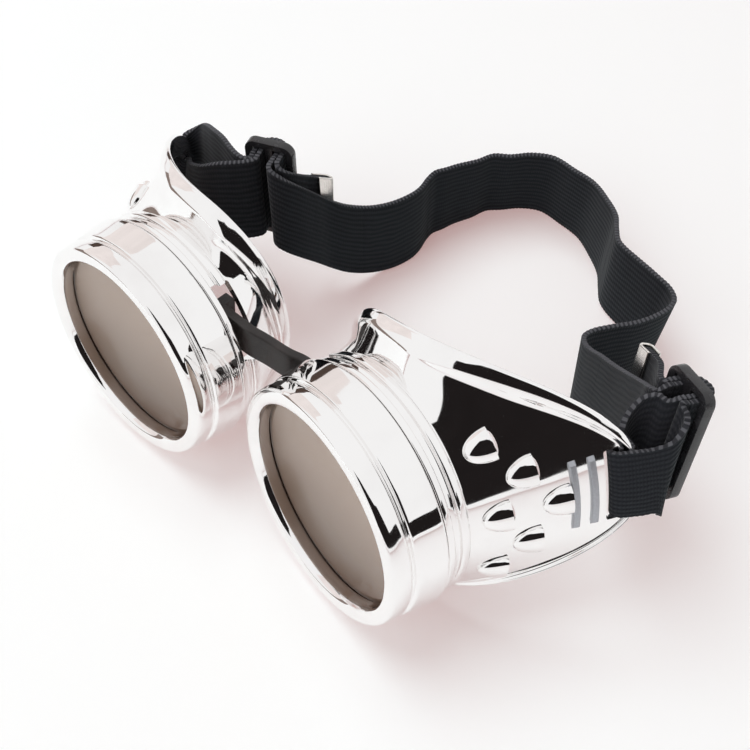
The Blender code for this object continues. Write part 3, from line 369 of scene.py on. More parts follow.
def capped(piece):
    # The open ends of a tube are closed with one face each.
    pick(piece)
    mode('EDIT')
    bpy.ops.mesh.select_mode(type='EDGE')
    bpy.ops.mesh.select_all(action='DESELECT')
    bpy.ops.mesh.select_non_manifold(extend=False)
    bpy.ops.mesh.edge_face_add()
    bpy.ops.mesh.select_all(action='SELECT')
    bpy.ops.mesh.normals_make_consistent(inside=False)
    mode('OBJECT')
    return piece


# %% [markdown]
# Each eye has its own frame: x points outward from the nose, y runs back along the lens
# axis and z is up. The right eye turns in toward the nose by 11.89 degrees and the left
# turns out by 1.80. Both look up by 5.84, and the left cup lies rolled by 12 degrees.

# %% The two eyes
PITCH = math.radians(-5.84)
EYES = {"right": (1, Vector((26.09, -64.79, 30.5)) * MM, math.radians(-11.89), 0.0),
        "left": (-1, Vector((-37.81, -64.79, 30.5)) * MM, math.radians(-1.80),
                 math.radians(-12.0))}


def eye_frame(label):
    side, middle, toe, roll = EYES[label]
    turn = (Matrix.Rotation(toe, 4, 'Z') @ Matrix.Rotation(PITCH, 4, 'X')
            @ Matrix.Rotation(roll, 4, 'Y'))
    return Matrix.Translation(middle) @ turn @ Matrix.Diagonal((side, 1, 1, 1))


for label in EYES:
    way = eye_frame(label).to_3x3() @ Vector((0, -1, 0))
    print(label, "eye looks along", [round(v, 3) for v in way])

# %% [markdown]
# The wall of a cup runs from the round collar to a wide, swept rim. Seen along the lens
# axis the rim is two half ovals, long toward the temple and short toward the nose, and its
# depth grows toward the temple. A crease sets off the flange just before the rim.

# %% Shape of the wall
def turned(radius, depth, angle):
    return Vector((radius * math.cos(angle), depth, radius * math.sin(angle)))


GLASS_RADIUS = 0.0250
WALL_START_RADIUS = GLASS_RADIUS + 0.0029
COLLAR_FRONT = 0.01205
COLLAR_END = COLLAR_FRONT + 0.00609
REACH = {"temple": 0.0423, "nose": 0.0249, "brow": 0.0370, "cheek": 0.0285}
RIM_ROLL = math.radians(20.0)
OVAL_POWER = 2.04
RIM_DEPTH = 0.0212
NOSE_SLOPE, BROW_SLOPE = 0.045, 0.039
TEMPLE_SWEEP, TIP_SWEEP = 0.0250, 0.0091
FLANGE_WIDTH, FLANGE_DEPTH = 0.0036, 0.0032
FLANGE_SHARES = (0.10, 1.20, 1.20, 0.80, 0.45, 0.45, 0.55, 0.40)
LEAST_WALL_SHARE = 0.35
AHEAD, BESIDE = 0.0003, 0.01


def rim_point(angle):
    turn = angle - RIM_ROLL
    outward, upward = math.cos(turn), math.sin(turn)
    side = REACH["temple"] if outward > 0 else REACH["nose"]
    rise = REACH["brow"] if upward > 0 else REACH["cheek"]
    radius = (abs(outward / side) ** OVAL_POWER
              + abs(upward / rise) ** OVAL_POWER) ** (-1 / OVAL_POWER)
    x, z = radius * outward, radius * upward
    share = x / REACH["temple"]
    return radius, (RIM_DEPTH - NOSE_SLOPE * x + BROW_SLOPE * z + TEMPLE_SWEEP * share ** 2
                    + TIP_SWEEP * share ** 3)


def crease_point(angle):
    radius, depth = rim_point(angle)
    count = len(FLANGE_SHARES)
    place = (angle - RIM_ROLL) / FULL_TURN * count % count
    low = int(place)
    ease = (place - low) ** 2 * (3 - 2 * (place - low))
    share = FLANGE_SHARES[low] * (1 - ease) + FLANGE_SHARES[(low + 1) % count] * ease
    least = COLLAR_END + LEAST_WALL_SHARE * (depth - COLLAR_END)
    return radius - FLANGE_WIDTH * share, max(depth - FLANGE_DEPTH * share, least)


def wall_point(angle, depth):
    radius, end = crease_point(angle)
    share = (depth - COLLAR_END) / (end - COLLAR_END)
    return turned(WALL_START_RADIUS + (radius - WALL_START_RADIUS) * share, depth, angle)


def wall_frame(angle, depth):
    spot = wall_point(angle, depth)
    rearward = (wall_point(angle, depth + AHEAD) - spot).normalized()
    around = wall_point(angle + BESIDE, depth) - wall_point(angle - BESIDE, depth)
    around = (around - rearward * around.dot(rearward)).normalized()
    outward = rearward.cross(around).normalized()
    turn = Matrix((rearward, around, outward)).transposed().to_4x4()
    return Matrix.Translation(spot) @ turn


deepest = max(rim_point(math.radians(a))[1] for a in range(360))
print("deepest point of the rim: %.1f mm behind the front edge" % (deepest / MM))

# %% [markdown]
# A turned section is drawn as a list of corners, and each corner gets its own rounding. A
# mirror shows every flat and every hard corner, so the roundings are real curves of six
# points, and every straight but the shortest is cut.

# %% Rounded corners
AROUND = 256
CORNER_POINTS = 6
CORNER_SHARE = 0.48


def rounded(corners):
    # corners: (radius, depth, rounding, cuts of the straight that follows)
    points = []
    spots = [np.array(corner[:2], float) for corner in corners]
    count = len(corners)
    ends = []
    for k in range(count):
        before = spots[k] - spots[k - 1]
        after = spots[(k + 1) % count] - spots[k]
        length, next_length = np.linalg.norm(before), np.linalg.norm(after)
        reach = min(corners[k][2], CORNER_SHARE * length, CORNER_SHARE * next_length)
        ends.append((spots[k] - before / length * reach,
                     spots[k] + after / next_length * reach))
    for k in range(count):
        first, last = ends[k]
        for t in np.linspace(0, 1, CORNER_POINTS):
            points.append((1 - t) ** 2 * first + 2 * t * (1 - t) * spots[k] + t * t * last)
        onward = ends[(k + 1) % count][0] - last
        cuts = corners[k][3]
        for cut in range(1, cuts + 1):
            points.append(last + onward * cut / (cuts + 1))
    return points


def turned_shell(name, label, sections):
    # sections(angle) gives the closed outline at one angle round the lens axis.
    whole = eye_frame(label)
    tables = [sections(FULL_TURN * k / AROUND) for k in range(AROUND)]
    rows = len(tables[0])

    def place(row, column):
        radius, depth = tables[column % AROUND][row % rows]
        return whole @ turned(radius, depth, FULL_TURN * (column % AROUND) / AROUND)

    return laid_grid(name, rows, AROUND, place, merge=0.000004)


# %% [markdown]
# One cup section goes round the neck, the two ribs of the collar, the wall, the crease,
# the bowed flange with its rim and back along the inside. Only the part behind the collar
# changes with the angle, so the section is worked out anew at each of the 256 angles.

# %% Section of a cup
NECK_FRONT = 0.0069
NECK_RADIUS = GLASS_RADIUS + 0.0007
NECK_BORE = GLASS_RADIUS - 0.0010
CUP_BORE = GLASS_RADIUS + 0.0010
FIRST_RIB = GLASS_RADIUS + 0.0039
SECOND_RIB = GLASS_RADIUS + 0.0036
GROOVE = GLASS_RADIUS + 0.0026
GROOVE_FRONT, GROOVE_REAR = COLLAR_FRONT + 0.00205, COLLAR_FRONT + 0.00365
GROOVE_SLOPE = 0.0003
WALL_THICKNESS, RIM_THICKNESS = 0.0020, 0.0016
LIP, LIP_THICKNESS = 0.0006, 0.0008
FLANGE_BOW = 0.0010
BEND = 0.0012


def offset(radius, depth, outward, rearward, amount):
    length = math.hypot(outward, rearward)
    return radius - rearward / length * amount, depth + outward / length * amount


def cup_section(angle):
    crease_radius, crease_depth = crease_point(angle)
    rim_radius, rim_depth = rim_point(angle)
    wall = crease_radius - WALL_START_RADIUS, crease_depth - COLLAR_END
    flange = rim_radius - crease_radius, rim_depth - crease_depth
    wall_length, flange_length = math.hypot(*wall), math.hypot(*flange)
    both = [w / wall_length + f / flange_length for w, f in zip(wall, flange)]
    start = offset(WALL_START_RADIUS, COLLAR_END, *wall, WALL_THICKNESS)
    crease = offset(crease_radius, crease_depth, *both, WALL_THICKNESS)
    rim = offset(rim_radius, rim_depth, *flange, RIM_THICKNESS)
    lip = offset(rim_radius + flange[0] / flange_length * LIP,
                 rim_depth + flange[1] / flange_length * LIP, *flange, LIP_THICKNESS)
    bowed = offset((crease_radius + rim_radius) / 2, (crease_depth + rim_depth) / 2,
                   *flange, -FLANGE_BOW)
    return rounded([
        (NECK_BORE, COLLAR_FRONT - 0.0006, 0.0003, 1), (NECK_BORE, NECK_FRONT, 0.0002, 1),
        (NECK_RADIUS, NECK_FRONT, 0.0003, 2), (NECK_RADIUS, COLLAR_FRONT, 0.0001, 1),
        (FIRST_RIB, COLLAR_FRONT, 0.0005, 1), (FIRST_RIB, GROOVE_FRONT - GROOVE_SLOPE, 0.0005, 1),
        (GROOVE, GROOVE_FRONT, 0.0003, 1), (GROOVE, GROOVE_REAR, 0.0003, 1),
        (SECOND_RIB, GROOVE_REAR + GROOVE_SLOPE, 0.0006, 1),
        (SECOND_RIB, COLLAR_END - 0.0004, 0.0006, 1), (WALL_START_RADIUS, COLLAR_END, 0.0004, 9),
        (crease_radius, crease_depth, BEND, 1), (*bowed, 0.0100, 1),
        (rim_radius, rim_depth, 0.0005, 0), (*lip, 0.0005, 0), (*rim, 0.0005, 3),
        (*crease, BEND, 8), (CUP_BORE, max(start[1], COLLAR_END), 0.0010, 1),
        (CUP_BORE, COLLAR_FRONT + 0.0012, 0.0004, 1)])


print("points in one cup section:", len(cup_section(0.0)))

# %% [markdown]
# A louvre is a small teardrop hood that lets air in and faces rearward. It starts as a
# sphere that is stretched, cut off at its open end and below the wall, and hollowed by a
# smaller sphere. It is made once, and each place on the wall gets its own copy.

# %% Louvre master and its places
LOUVRE = {"length": 0.0062, "half_width": 0.0036, "height": 0.0021, "skin": 0.0009}
HOOD_FOOT, HOOD_EDGE = 0.0009, 0.00018
VENT_DEPTH = 0.0046
TEMPLE = math.radians(22.0)
LOUVRE_STEP = math.radians(15.0)
FIRST_ROW, ROW_PITCH = 0.0264, 0.0060
LOUVRE_PLACES = [(TEMPLE + LOUVRE_STEP * k, FIRST_ROW + ROW_PITCH * row)
                 for row, places in enumerate(((-2, 0, 2), (-1, 1), (0,))) for k in places]


def stretched_ball(name, front, rear, half_width, rise, drop):
    bpy.ops.mesh.primitive_uv_sphere_add(segments=40, ring_count=24, radius=1)
    ball = bpy.context.object
    ball.name = name
    for vert in ball.data.vertices:
        x, y, z = vert.co
        vert.co = (x * (front if x < 0 else rear), y * half_width,
                   z * (rise if z > 0 else drop))
    return ball


def cut_flat(piece, spot, normal):
    pick(piece)
    mode('EDIT')
    bpy.ops.mesh.select_all(action='SELECT')
    bpy.ops.mesh.bisect(plane_co=spot, plane_no=normal, use_fill=True, clear_outer=True)
    mode('OBJECT')


def inner_ball(name, drop):
    length, half, high, skin = LOUVRE.values()
    return stretched_ball(name, length - skin * 1.5, skin, half - skin, high - skin, drop)


def hood():
    length, half, high = list(LOUVRE.values())[:3]
    piece = stretched_ball("louvre_hood", length, length, half, high, high)
    cut_flat(piece, (0, 0, 0), (1, 0, 0))
    cut_flat(piece, (0, 0, -HOOD_FOOT), (0, 0, -1))
    cut_out(piece, inner_ball("louvre_inside", high))
    bevelled(piece, HOOD_EDGE, 2, 50)
    return piece


def carried(piece, matrix):
    # A mirroring matrix turns a mesh inside out, so its faces are flipped back.
    piece.data.transform(matrix)
    if matrix.determinant() < 0:
        piece.data.flip_normals()


def moved_copy(master, matrix, name):
    piece = bpy.data.objects.new(name, master.data.copy())
    bpy.context.scene.collection.objects.link(piece)
    carried(piece, matrix)
    return piece


master_hood = hood()
master_vent = inner_ball("vent_core", VENT_DEPTH)
print("louvres on each cup:", len(LOUVRE_PLACES))

# %% [markdown]
# Two raised ribs stiffen the wall beside the strap slot. Each is a short bar laid along
# the wall's own curve, with a rounded back.

# %% Rib and slot tools
SLOT_DEPTH = 0.0471
RIB_DEPTHS = (0.0394, 0.0432)
RIB_HALF_LENGTH, RIB_HALF = 0.0085, 0.0008
RIB_STRAIGHT, RIB_END = 0.94, 0.06
RIB_ROWS = 20


def wall_rib(name, label, depth):
    whole = eye_frame(label)
    half = RIB_HALF_LENGTH / wall_point(TEMPLE, depth).xz.length
    outline = rounded([(-RIB_HALF, -RIB_HALF, 0.0001, 1), (-RIB_HALF, RIB_HALF, 0.0005, 1),
                       (RIB_HALF, RIB_HALF, 0.0005, 1), (RIB_HALF, -RIB_HALF, 0.0001, 1)])

    def place(row, column):
        share = row / RIB_ROWS * 2 - 1
        rearward, out = outline[column % len(outline)]
        beyond = max(0.0, abs(share) - RIB_STRAIGHT)
        if out > 0:
            out *= math.sqrt(max(0.0, 1 - beyond ** 2 / RIB_END ** 2))
        return whole @ wall_frame(TEMPLE + half * share, depth) @ Vector((rearward, 0, out))

    return capped(laid_grid(name, RIB_ROWS, len(outline), place, merge=0.000002))


def box_tool(name, low, high, matrix=Matrix.Identity(4), rounding=0.0):
    bpy.ops.mesh.primitive_cube_add(size=1)
    tool = bpy.context.object
    tool.name = name
    for vert in tool.data.vertices:
        vert.co = [low[i] if vert.co[i] < 0 else high[i] for i in range(3)]
    carried(tool, matrix)
    if rounding:
        bevelled(tool, rounding, 3, 50)
    return tool


# %% [markdown]
# The neck carries a coarse thread for the ring, a ridge wound one and three quarter turns
# round it. The ring has the same ridge inside, wound half a pitch later so that the two
# pass each other.

# %% Thread ridge
PITCH_OF_THREAD = 0.0020
THREAD_HEIGHT, THREAD_SUNK = 0.0007, 0.0003
THREAD_FOOT, THREAD_TOP = 0.0005, 0.0002
NECK_TURNS, RING_TURNS = 1.75, 1.5
NECK_THREAD_START = 0.0076
FACES_PER_TURN = 72
FADE_ROWS = 6


def thread_ridge(name, label, base, crest, start, turns, phase):
    # The left eye's mirroring is undone, so that both threads wind the same way.
    whole = eye_frame(label) @ Matrix.Diagonal((EYES[label][0], 1, 1, 1))
    count = int(turns * FACES_PER_TURN)
    corners = ((base, -THREAD_FOOT), (crest, -THREAD_TOP), (crest, THREAD_TOP),
               (base, THREAD_FOOT))

    def place(row, column):
        angle = phase + FULL_TURN * turns * row / count
        radius, shift = corners[column % len(corners)]
        painted_shade_by_height = min(1.0, row / FADE_ROWS, (count - row) / FADE_ROWS)
        radius = base + (radius - base) * painted_shade_by_height
        depth = start + PITCH_OF_THREAD * turns * row / count + shift
        return whole @ turned(radius, depth, -angle)

    return laid_grid(name, count, len(corners), place, merge=0.000002)


# %% [markdown]
# A cup is now put together: the vents, the strap slot and the slot for the nose bridge
# are cut out of the shell, and the hoods and the thread are joined to it. The two satin
# ribs are a piece of their own.

# %% Eye cups
STRAP_SLOT = ((-0.0017, -0.0087, -0.004), (0.0017, 0.0087, 0.004))
BRIDGE_SLOT = ((-0.0329, 0.0137, 0.0015), (-0.0137, 0.0187, 0.0190))
STRAP_SLOT_EDGE, BRIDGE_SLOT_EDGE = 0.0005, 0.0004
SOFT_ANGLE = 38.0


def eye_cup(label):
    whole = eye_frame(label)
    cup = turned_shell("cup_shell_" + label, label, cup_section)
    cutters = [moved_copy(master_vent, whole @ wall_frame(*place), "vent_cut")
               for place in LOUVRE_PLACES]
    cutters.append(box_tool("strap_slot_cut", *STRAP_SLOT,
                            whole @ wall_frame(TEMPLE, SLOT_DEPTH), STRAP_SLOT_EDGE))
    cutters.append(box_tool("bridge_slot_cut", *BRIDGE_SLOT, whole, BRIDGE_SLOT_EDGE))
    for tool in cutters:
        cut_out(cup, tool)
    extras = [moved_copy(master_hood, whole @ wall_frame(*place), "hood")
              for place in LOUVRE_PLACES]
    extras.append(thread_ridge("neck_thread", label, NECK_RADIUS - THREAD_SUNK,
                               NECK_RADIUS + THREAD_HEIGHT, NECK_THREAD_START, NECK_TURNS,
                               0.0))
    joined(cup, *extras)
    smooth(cup, SOFT_ANGLE)
    finished(cup, CUP_MIRROR)
    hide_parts("eye_cup_" + label)
    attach(cup, "cup_" + label)
    ribs = joined(*[wall_rib("wall_ribs_" + label, label, depth) for depth in RIB_DEPTHS])
    smooth(ribs, SOFT_ANGLE)
    finished(ribs, RIB_SATIN)
    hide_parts("eye_cup_" + label)
    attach(ribs, "cup_" + label)
    print("eye cup", label, len(cup.data.polygons), "faces")


for label in EYES:
    eye_cup(label)

# %% [markdown]
# The lens ring is one turned piece: a soft round lip in front, a fine groove, then a band
# that widens toward the cup. Inside it steps from the opening to the pocket for the glass
# and on to the threaded bore.

# %% Lens rings
RING_OPENING = GLASS_RADIUS - 0.0007
RING_POCKET = GLASS_RADIUS + 0.0003
RING_BORE = GLASS_RADIUS + 0.0018
RING_SHOULDER = GLASS_RADIUS + 0.0031
RING_GROOVE = GLASS_RADIUS + 0.0025
BAND_START, BAND_END = GLASS_RADIUS + 0.0034, GLASS_RADIUS + 0.00445
POCKET_FRONT, POCKET_REAR = 0.0031, 0.0061
RING_END = 0.01175
BAND_EDGE = 0.0004
THREAD_STOP = 0.0010
RING_OUTLINE = rounded([
    (0.02375, 0.0003, 0.0004, 1), (0.02440, -0.0013, 0.0010, 1),
    (0.02592, -0.0016, 0.0018, 1), (0.02760, -0.0012, 0.0014, 1),
    (RING_SHOULDER, 0.0008, 0.0010, 1), (RING_SHOULDER, 0.0031, 0.0005, 1),
    (RING_GROOVE, 0.0036, 0.0002, 0), (RING_GROOVE, 0.0040, 0.0002, 0),
    (BAND_START, 0.0044, 0.0004, 5), (BAND_END, RING_END - BAND_EDGE, 0.0004, 0),
    (BAND_END - BAND_EDGE, RING_END, 0.0003, 1), (RING_BORE, RING_END, 0.0002, 2),
    (RING_BORE, POCKET_REAR, 0.0002, 1), (RING_POCKET, POCKET_REAR, 0.0002, 1),
    (RING_POCKET, POCKET_FRONT, 0.0002, 1), (RING_OPENING, POCKET_FRONT, 0.0002, 1)])


def lens_ring(label):
    ring = turned_shell("lens_ring_" + label + "_turned", label, lambda angle: RING_OUTLINE)
    start = RING_END - THREAD_STOP - RING_TURNS * PITCH_OF_THREAD
    phase = FULL_TURN * ((start - NECK_THREAD_START) / PITCH_OF_THREAD - 0.5)
    joined(ring, thread_ridge("ring_thread", label, RING_BORE + THREAD_SUNK,
                              RING_BORE - THREAD_HEIGHT, start, RING_TURNS, phase))
    smooth(ring, SOFT_ANGLE)
    finished(ring, RING_MIRROR)
    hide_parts("lens_ring_" + label)
    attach(ring, "ring_" + label)
    print("lens ring", label, len(ring.data.polygons), "faces")


for label in EYES:
    lens_ring(label)
for tool in (master_hood, master_vent):
    bpy.data.objects.remove(tool, do_unlink=True)

# %% [markdown]
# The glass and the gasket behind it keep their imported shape, which is plain and true, and
# get their own materials.

# %% Glass and gaskets
for label in EYES:
    finished(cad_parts["tinted_lens_" + label], GLASS)
    finished(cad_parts["lens_gasket_" + label], GASKET_RUBBER)

# %% [markdown]
# The nose bridge is a flexible rubber bar on edge that passes through a slot in each cup
# and ends in a thicker head inside it. Its stations give the middle, the way across and
# the thickness, and a rounded outline is carried from one to the next.

# %% Nose bridge
BRIDGE_UP = Vector((0.0121, 0.1006, 0.9948))
BRIDGE_HALF_HEIGHT = 4.0
BRIDGE_EDGE = 0.5
BRIDGE_STEP = 0.8
BRIDGE_STATIONS = (
    (-22.20, -47.20, 42.31, 0.038, -0.994, 0.100, 5.6),
    (-19.61, -47.12, 42.12, 0.038, -0.994, 0.100, 5.6),
    (-19.56, -48.31, 42.24, 0.038, -0.994, 0.100, 2.4),
    (-13.26, -48.12, 41.76, 0.038, -0.994, 0.100, 2.4),
    (-10.63, -48.04, 41.56, 0.181, -0.979, 0.097, 2.4),
    (-7.40, -46.30, 39.33, 0.329, -0.940, 0.091, 2.4),
    (-2.38, -44.75, 37.25, 0.329, -0.940, 0.091, 2.4),
    (0.86, -42.64, 35.02, 0.109, -0.989, 0.099, 2.4),
    (3.48, -42.94, 34.82, -0.105, -0.989, 0.101, 2.4),
    (8.06, -43.46, 34.47, -0.105, -0.989, 0.101, 2.4),
    (8.19, -42.27, 34.35, -0.105, -0.989, 0.101, 5.6),
    (10.77, -42.57, 34.15, -0.105, -0.989, 0.101, 5.6))


def smooth_path(keys, step):
    # A smooth curve through rows of numbers whose first three are a place.
    keys = np.array(keys, float)
    rows = [keys[0]]
    for i in range(len(keys) - 1):
        a, b, c = keys[max(i - 1, 0)], keys[i], keys[i + 1]
        d = keys[min(i + 2, len(keys) - 1)]
        length = np.linalg.norm(c[:3] - b[:3])
        before = max(np.linalg.norm(b[:3] - a[:3]), length * 0.5)
        after = max(np.linalg.norm(d[:3] - c[:3]), length * 0.5)
        into = ((b - a) / before * 0.5 + (c - b) / length * 0.5) * length
        out = ((c - b) / length * 0.5 + (d - c) / after * 0.5) * length
        into = c - b if i == 0 else into
        out = c - b if i == len(keys) - 2 else out
        count = max(1, int(round(length / step)))
        for t in np.arange(1, count + 1) / count:
            rows.append((2 * t**3 - 3 * t**2 + 1) * b + (t**3 - 2 * t**2 + t) * into
                        + (3 * t**2 - 2 * t**3) * c + (t**3 - t**2) * out)
    return np.array(rows)


def bridge_outline(thick):
    half, high, edge = thick / 2, BRIDGE_HALF_HEIGHT, BRIDGE_EDGE
    return rounded([(-half, -high, edge, 2), (half, -high, edge, 4), (half, high, edge, 2),
                    (-half, high, edge, 4)])


def nose_bridge():
    stations = [*BRIDGE_STATIONS[:3], *smooth_path(BRIDGE_STATIONS[3:9], BRIDGE_STEP),
                *BRIDGE_STATIONS[9:]]
    count = len(stations) - 1

    def place(row, column):
        station = stations[row]
        outline = bridge_outline(station[6])
        across, rise = outline[column % len(outline)]
        return (Vector(station[:3]) + Vector(station[3:6]) * across + BRIDGE_UP * rise) * MM

    bar = laid_grid("rubber_bridge", count, len(bridge_outline(1.0)), place, merge=0.000002)
    capped(bar)
    smooth(bar, 35.0)
    finished(bar, BRIDGE_RUBBER)
    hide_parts("nose_bridge")
    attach(bar, "bridge_and_strap")
    print("bridge stations:", count + 1)


nose_bridge()

# %% [markdown]
# All the webbing is made by one function. It lays a fine grid along a smooth route, whose
# rows give the middle of the band and the arrow from there to its upper edge. The edges
# get the small loops that knitted elastic has, and a Solidify modifier gives the thickness.

# %% Webbing
WEB_THICKNESS = 0.0012
PICOT_PITCH = 0.0011
PICOT_SHARE = 0.009
BAND_COLUMNS = 14
BAND_EDGE_SHARE = 0.3
ROW_STEP = 0.00030


def band(name, rows, finish=WEB, thickness=WEB_THICKNESS):
    lengths = np.linalg.norm(np.diff(rows[:, :3], axis=0), axis=1)
    gone = np.concatenate([[0], np.cumsum(lengths)])
    spread = np.sin(np.linspace(-0.5, 0.5, BAND_COLUMNS + 1) * math.pi)

    def place(row, column):
        share = spread[column]
        if finish is WEB and column in (0, BAND_COLUMNS):
            share *= 1 + PICOT_SHARE * math.cos(FULL_TURN * gone[row] / PICOT_PITCH)
        spot = rows[row][:3] + rows[row][3:6] * share + rows[row][6:9] * (1 - share * share)
        return Vector(spot)

    piece = laid_grid(name, len(rows) - 1, BAND_COLUMNS, place)
    layer = piece.data.uv_layers[0]
    layer.name = "band"
    for corner in layer.data:
        uv = corner.uv
        row = int(round(uv[1] * (len(rows) - 1)))
        column = int(round(uv[0] * BAND_COLUMNS))
        uv[0], uv[1] = gone[row], spread[column] / 2 + 0.5
    applied(piece, 'SOLIDIFY', thickness=thickness, offset=0.0, use_even_offset=True)
    bevelled(piece, thickness * BAND_EDGE_SHARE, 2, 60)
    smooth(piece, 60.0)
    finished(piece, finish)
    print(name, "%.1f mm long," % (gone[-1] / MM), len(piece.data.polygons), "faces")
    return piece


def route(table):
    # A row is a place, the arrow to the band's upper edge and, where the band is gathered,
    # the arrow of its bow. A row of three numbers keeps the arrows of the row before.
    rows, arrows = [], ()
    for row in table:
        arrows = row[3:] or arrows
        rows.append([*row[:3], *arrows] + [0] * (6 - len(arrows)))
    return smooth_path(np.array(rows, float) * MM, ROW_STEP)


# %% [markdown]
# The long strap leaves the left slider, drops to the table, stands on its edge in an arch
# behind the cups, folds twice on its way to the right and climbs to the right slider. Its
# route is written once, and the pieces are cut from it where the bodies change.

# %% Long strap
LONG_ROUTE = (
    (-42.7, -8.5, 39.3, 0, 0, 12.7), (-42.2, -9.6, 39.3), (-41.4, -11.3, 39.3),
    (-39.8, -12.0, 39.0), (-37.6, -10.9, 37.5), (-35.9, -7.7, 34.2), (-35.2, -2.4, 28.6),
    (-35.0, 2.7, 23.0), (-33.4, 8.2, 18.2), (-30.8, 15.3, 14.6), (-28.7, 21.8, 13.1),
    (-27.1, 28.1, 13.1, 0.1, -0.1, 12.7), (-27.2, 31.8, 13.1, 0.3, -0.3, 12.7),
    (-28.5, 36.9, 13.1, 0.5, -0.5, 12.7), (-28.8, 40.2, 13.1, 0.6, -0.6, 12.7),
    (-27.5, 43.6, 13.1, 0.8, -0.8, 12.7), (-26.4, 47.3, 13.0, 1.0, -1.0, 12.6),
    (-23.7, 53.1, 13.0, 1.3, -1.3, 12.6), (-22.0, 58.6, 12.9, 1.4, -1.5, 12.5),
    (-18.6, 61.7, 12.9, 1.7, -1.8, 12.5), (-14.4, 66.5, 12.9), (-9.0, 69.6, 12.9),
    (-1.0, 69.1, 12.9), (6.4, 68.0, 12.9, 1.3, -1.5, 12.5),
    (13.5, 64.1, 13.0, 1.0, -1.1, 12.6), (19.4, 59.7, 13.1, 0.8, -0.8, 12.7),
    (22.8, 55.1, 13.1, 0.5, -0.5, 12.7), (25.8, 51.4, 13.1, 0.4, -0.3, 12.7),
    (28.4, 49.9, 13.1, 0.3, 0, 12.7), (33.4, 48.3, 13.1, 0.3, 0.3, 12.7),
    (40.6, 46.1, 13.1, 0.4, 0.6, 12.7), (45.2, 44.2, 13.0, 0.8, 1.0, 12.6),
    (47.9, 41.5, 13.0, 0.9, 1.1, 12.6), (48.4, 38.5, 13.0),
    (47.6, 34.1, 13.1, 0.8, 0.8, 12.7), (45.4, 28.9, 13.1, 0.5, 0.5, 12.7),
    (42.0, 23.9, 13.1, 0.1, 0.3, 12.7), (39.6, 19.8, 13.1, -0.3, 0, 12.7),
    (39.2, 16.8, 13.3, -0.5, 0, 12.7), (40.8, 14.3, 14.1),
    (43.8, 11.5, 16.4, -0.4, 0.1, 12.7), (48.0, 8.0, 20.5, -0.3, 0.3, 12.7),
    (52.2, 4.7, 24.0, -0.3, 0.4, 12.7), (56.2, 1.4, 27.5, -0.4, 0.8, 12.7),
    (61.5, -3.6, 33.3, -0.5, 1.3, 12.6), (65.6, -7.9, 38.1, -0.6, 1.8, 12.6),
    (67.9, -10.7, 41.1, -0.8, 2.2, 12.5), (69.5, -11.5, 42.3, -0.8, 2.5, 12.4),
    (70.7, -9.9, 43.4), (71.3, -8.9, 43.2))
LONG_CUTS = ((-31.9, 12.3), (-28.5, 36.9), (22.8, 55.1), (49.5, 6.8))
LEVEL_HEIGHT = 0.020


def nearest(rows, x, y):
    return int(np.argmin(np.hypot(rows[:, 0] - x * MM, rows[:, 1] - y * MM)))


def level(spot):
    # The spot is set at one fixed height.
    return spot[0], spot[1], LEVEL_HEIGHT


long_rows = route(LONG_ROUTE)
cuts = [nearest(long_rows, *spot) for spot in LONG_CUTS]
stretches = [long_rows[a:b + 1] for a, b in zip([0] + cuts, cuts + [len(long_rows) - 1])]

near_left = band("strap_at_left_slider", stretches[0])
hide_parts("strap_main_left")
level(stretches[0][-1])
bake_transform(near_left)
left_run = band("strap_left_run", stretches[1])
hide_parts("strap_main_left", "strap_centre")
level(stretches[1][0])
level(stretches[1][-1])
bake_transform(left_run)
arch = band("strap_arch", stretches[2])
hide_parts("strap_centre")
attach(arch, "bridge_and_strap")
right_run = band("strap_right_run", stretches[3])
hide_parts("strap_main_right")
level(stretches[3][0])
level(stretches[3][-1])
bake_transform(right_run)
near_right = band("strap_at_right_slider", stretches[4])
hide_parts("strap_main_right")
level(stretches[4][0])
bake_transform(near_right)
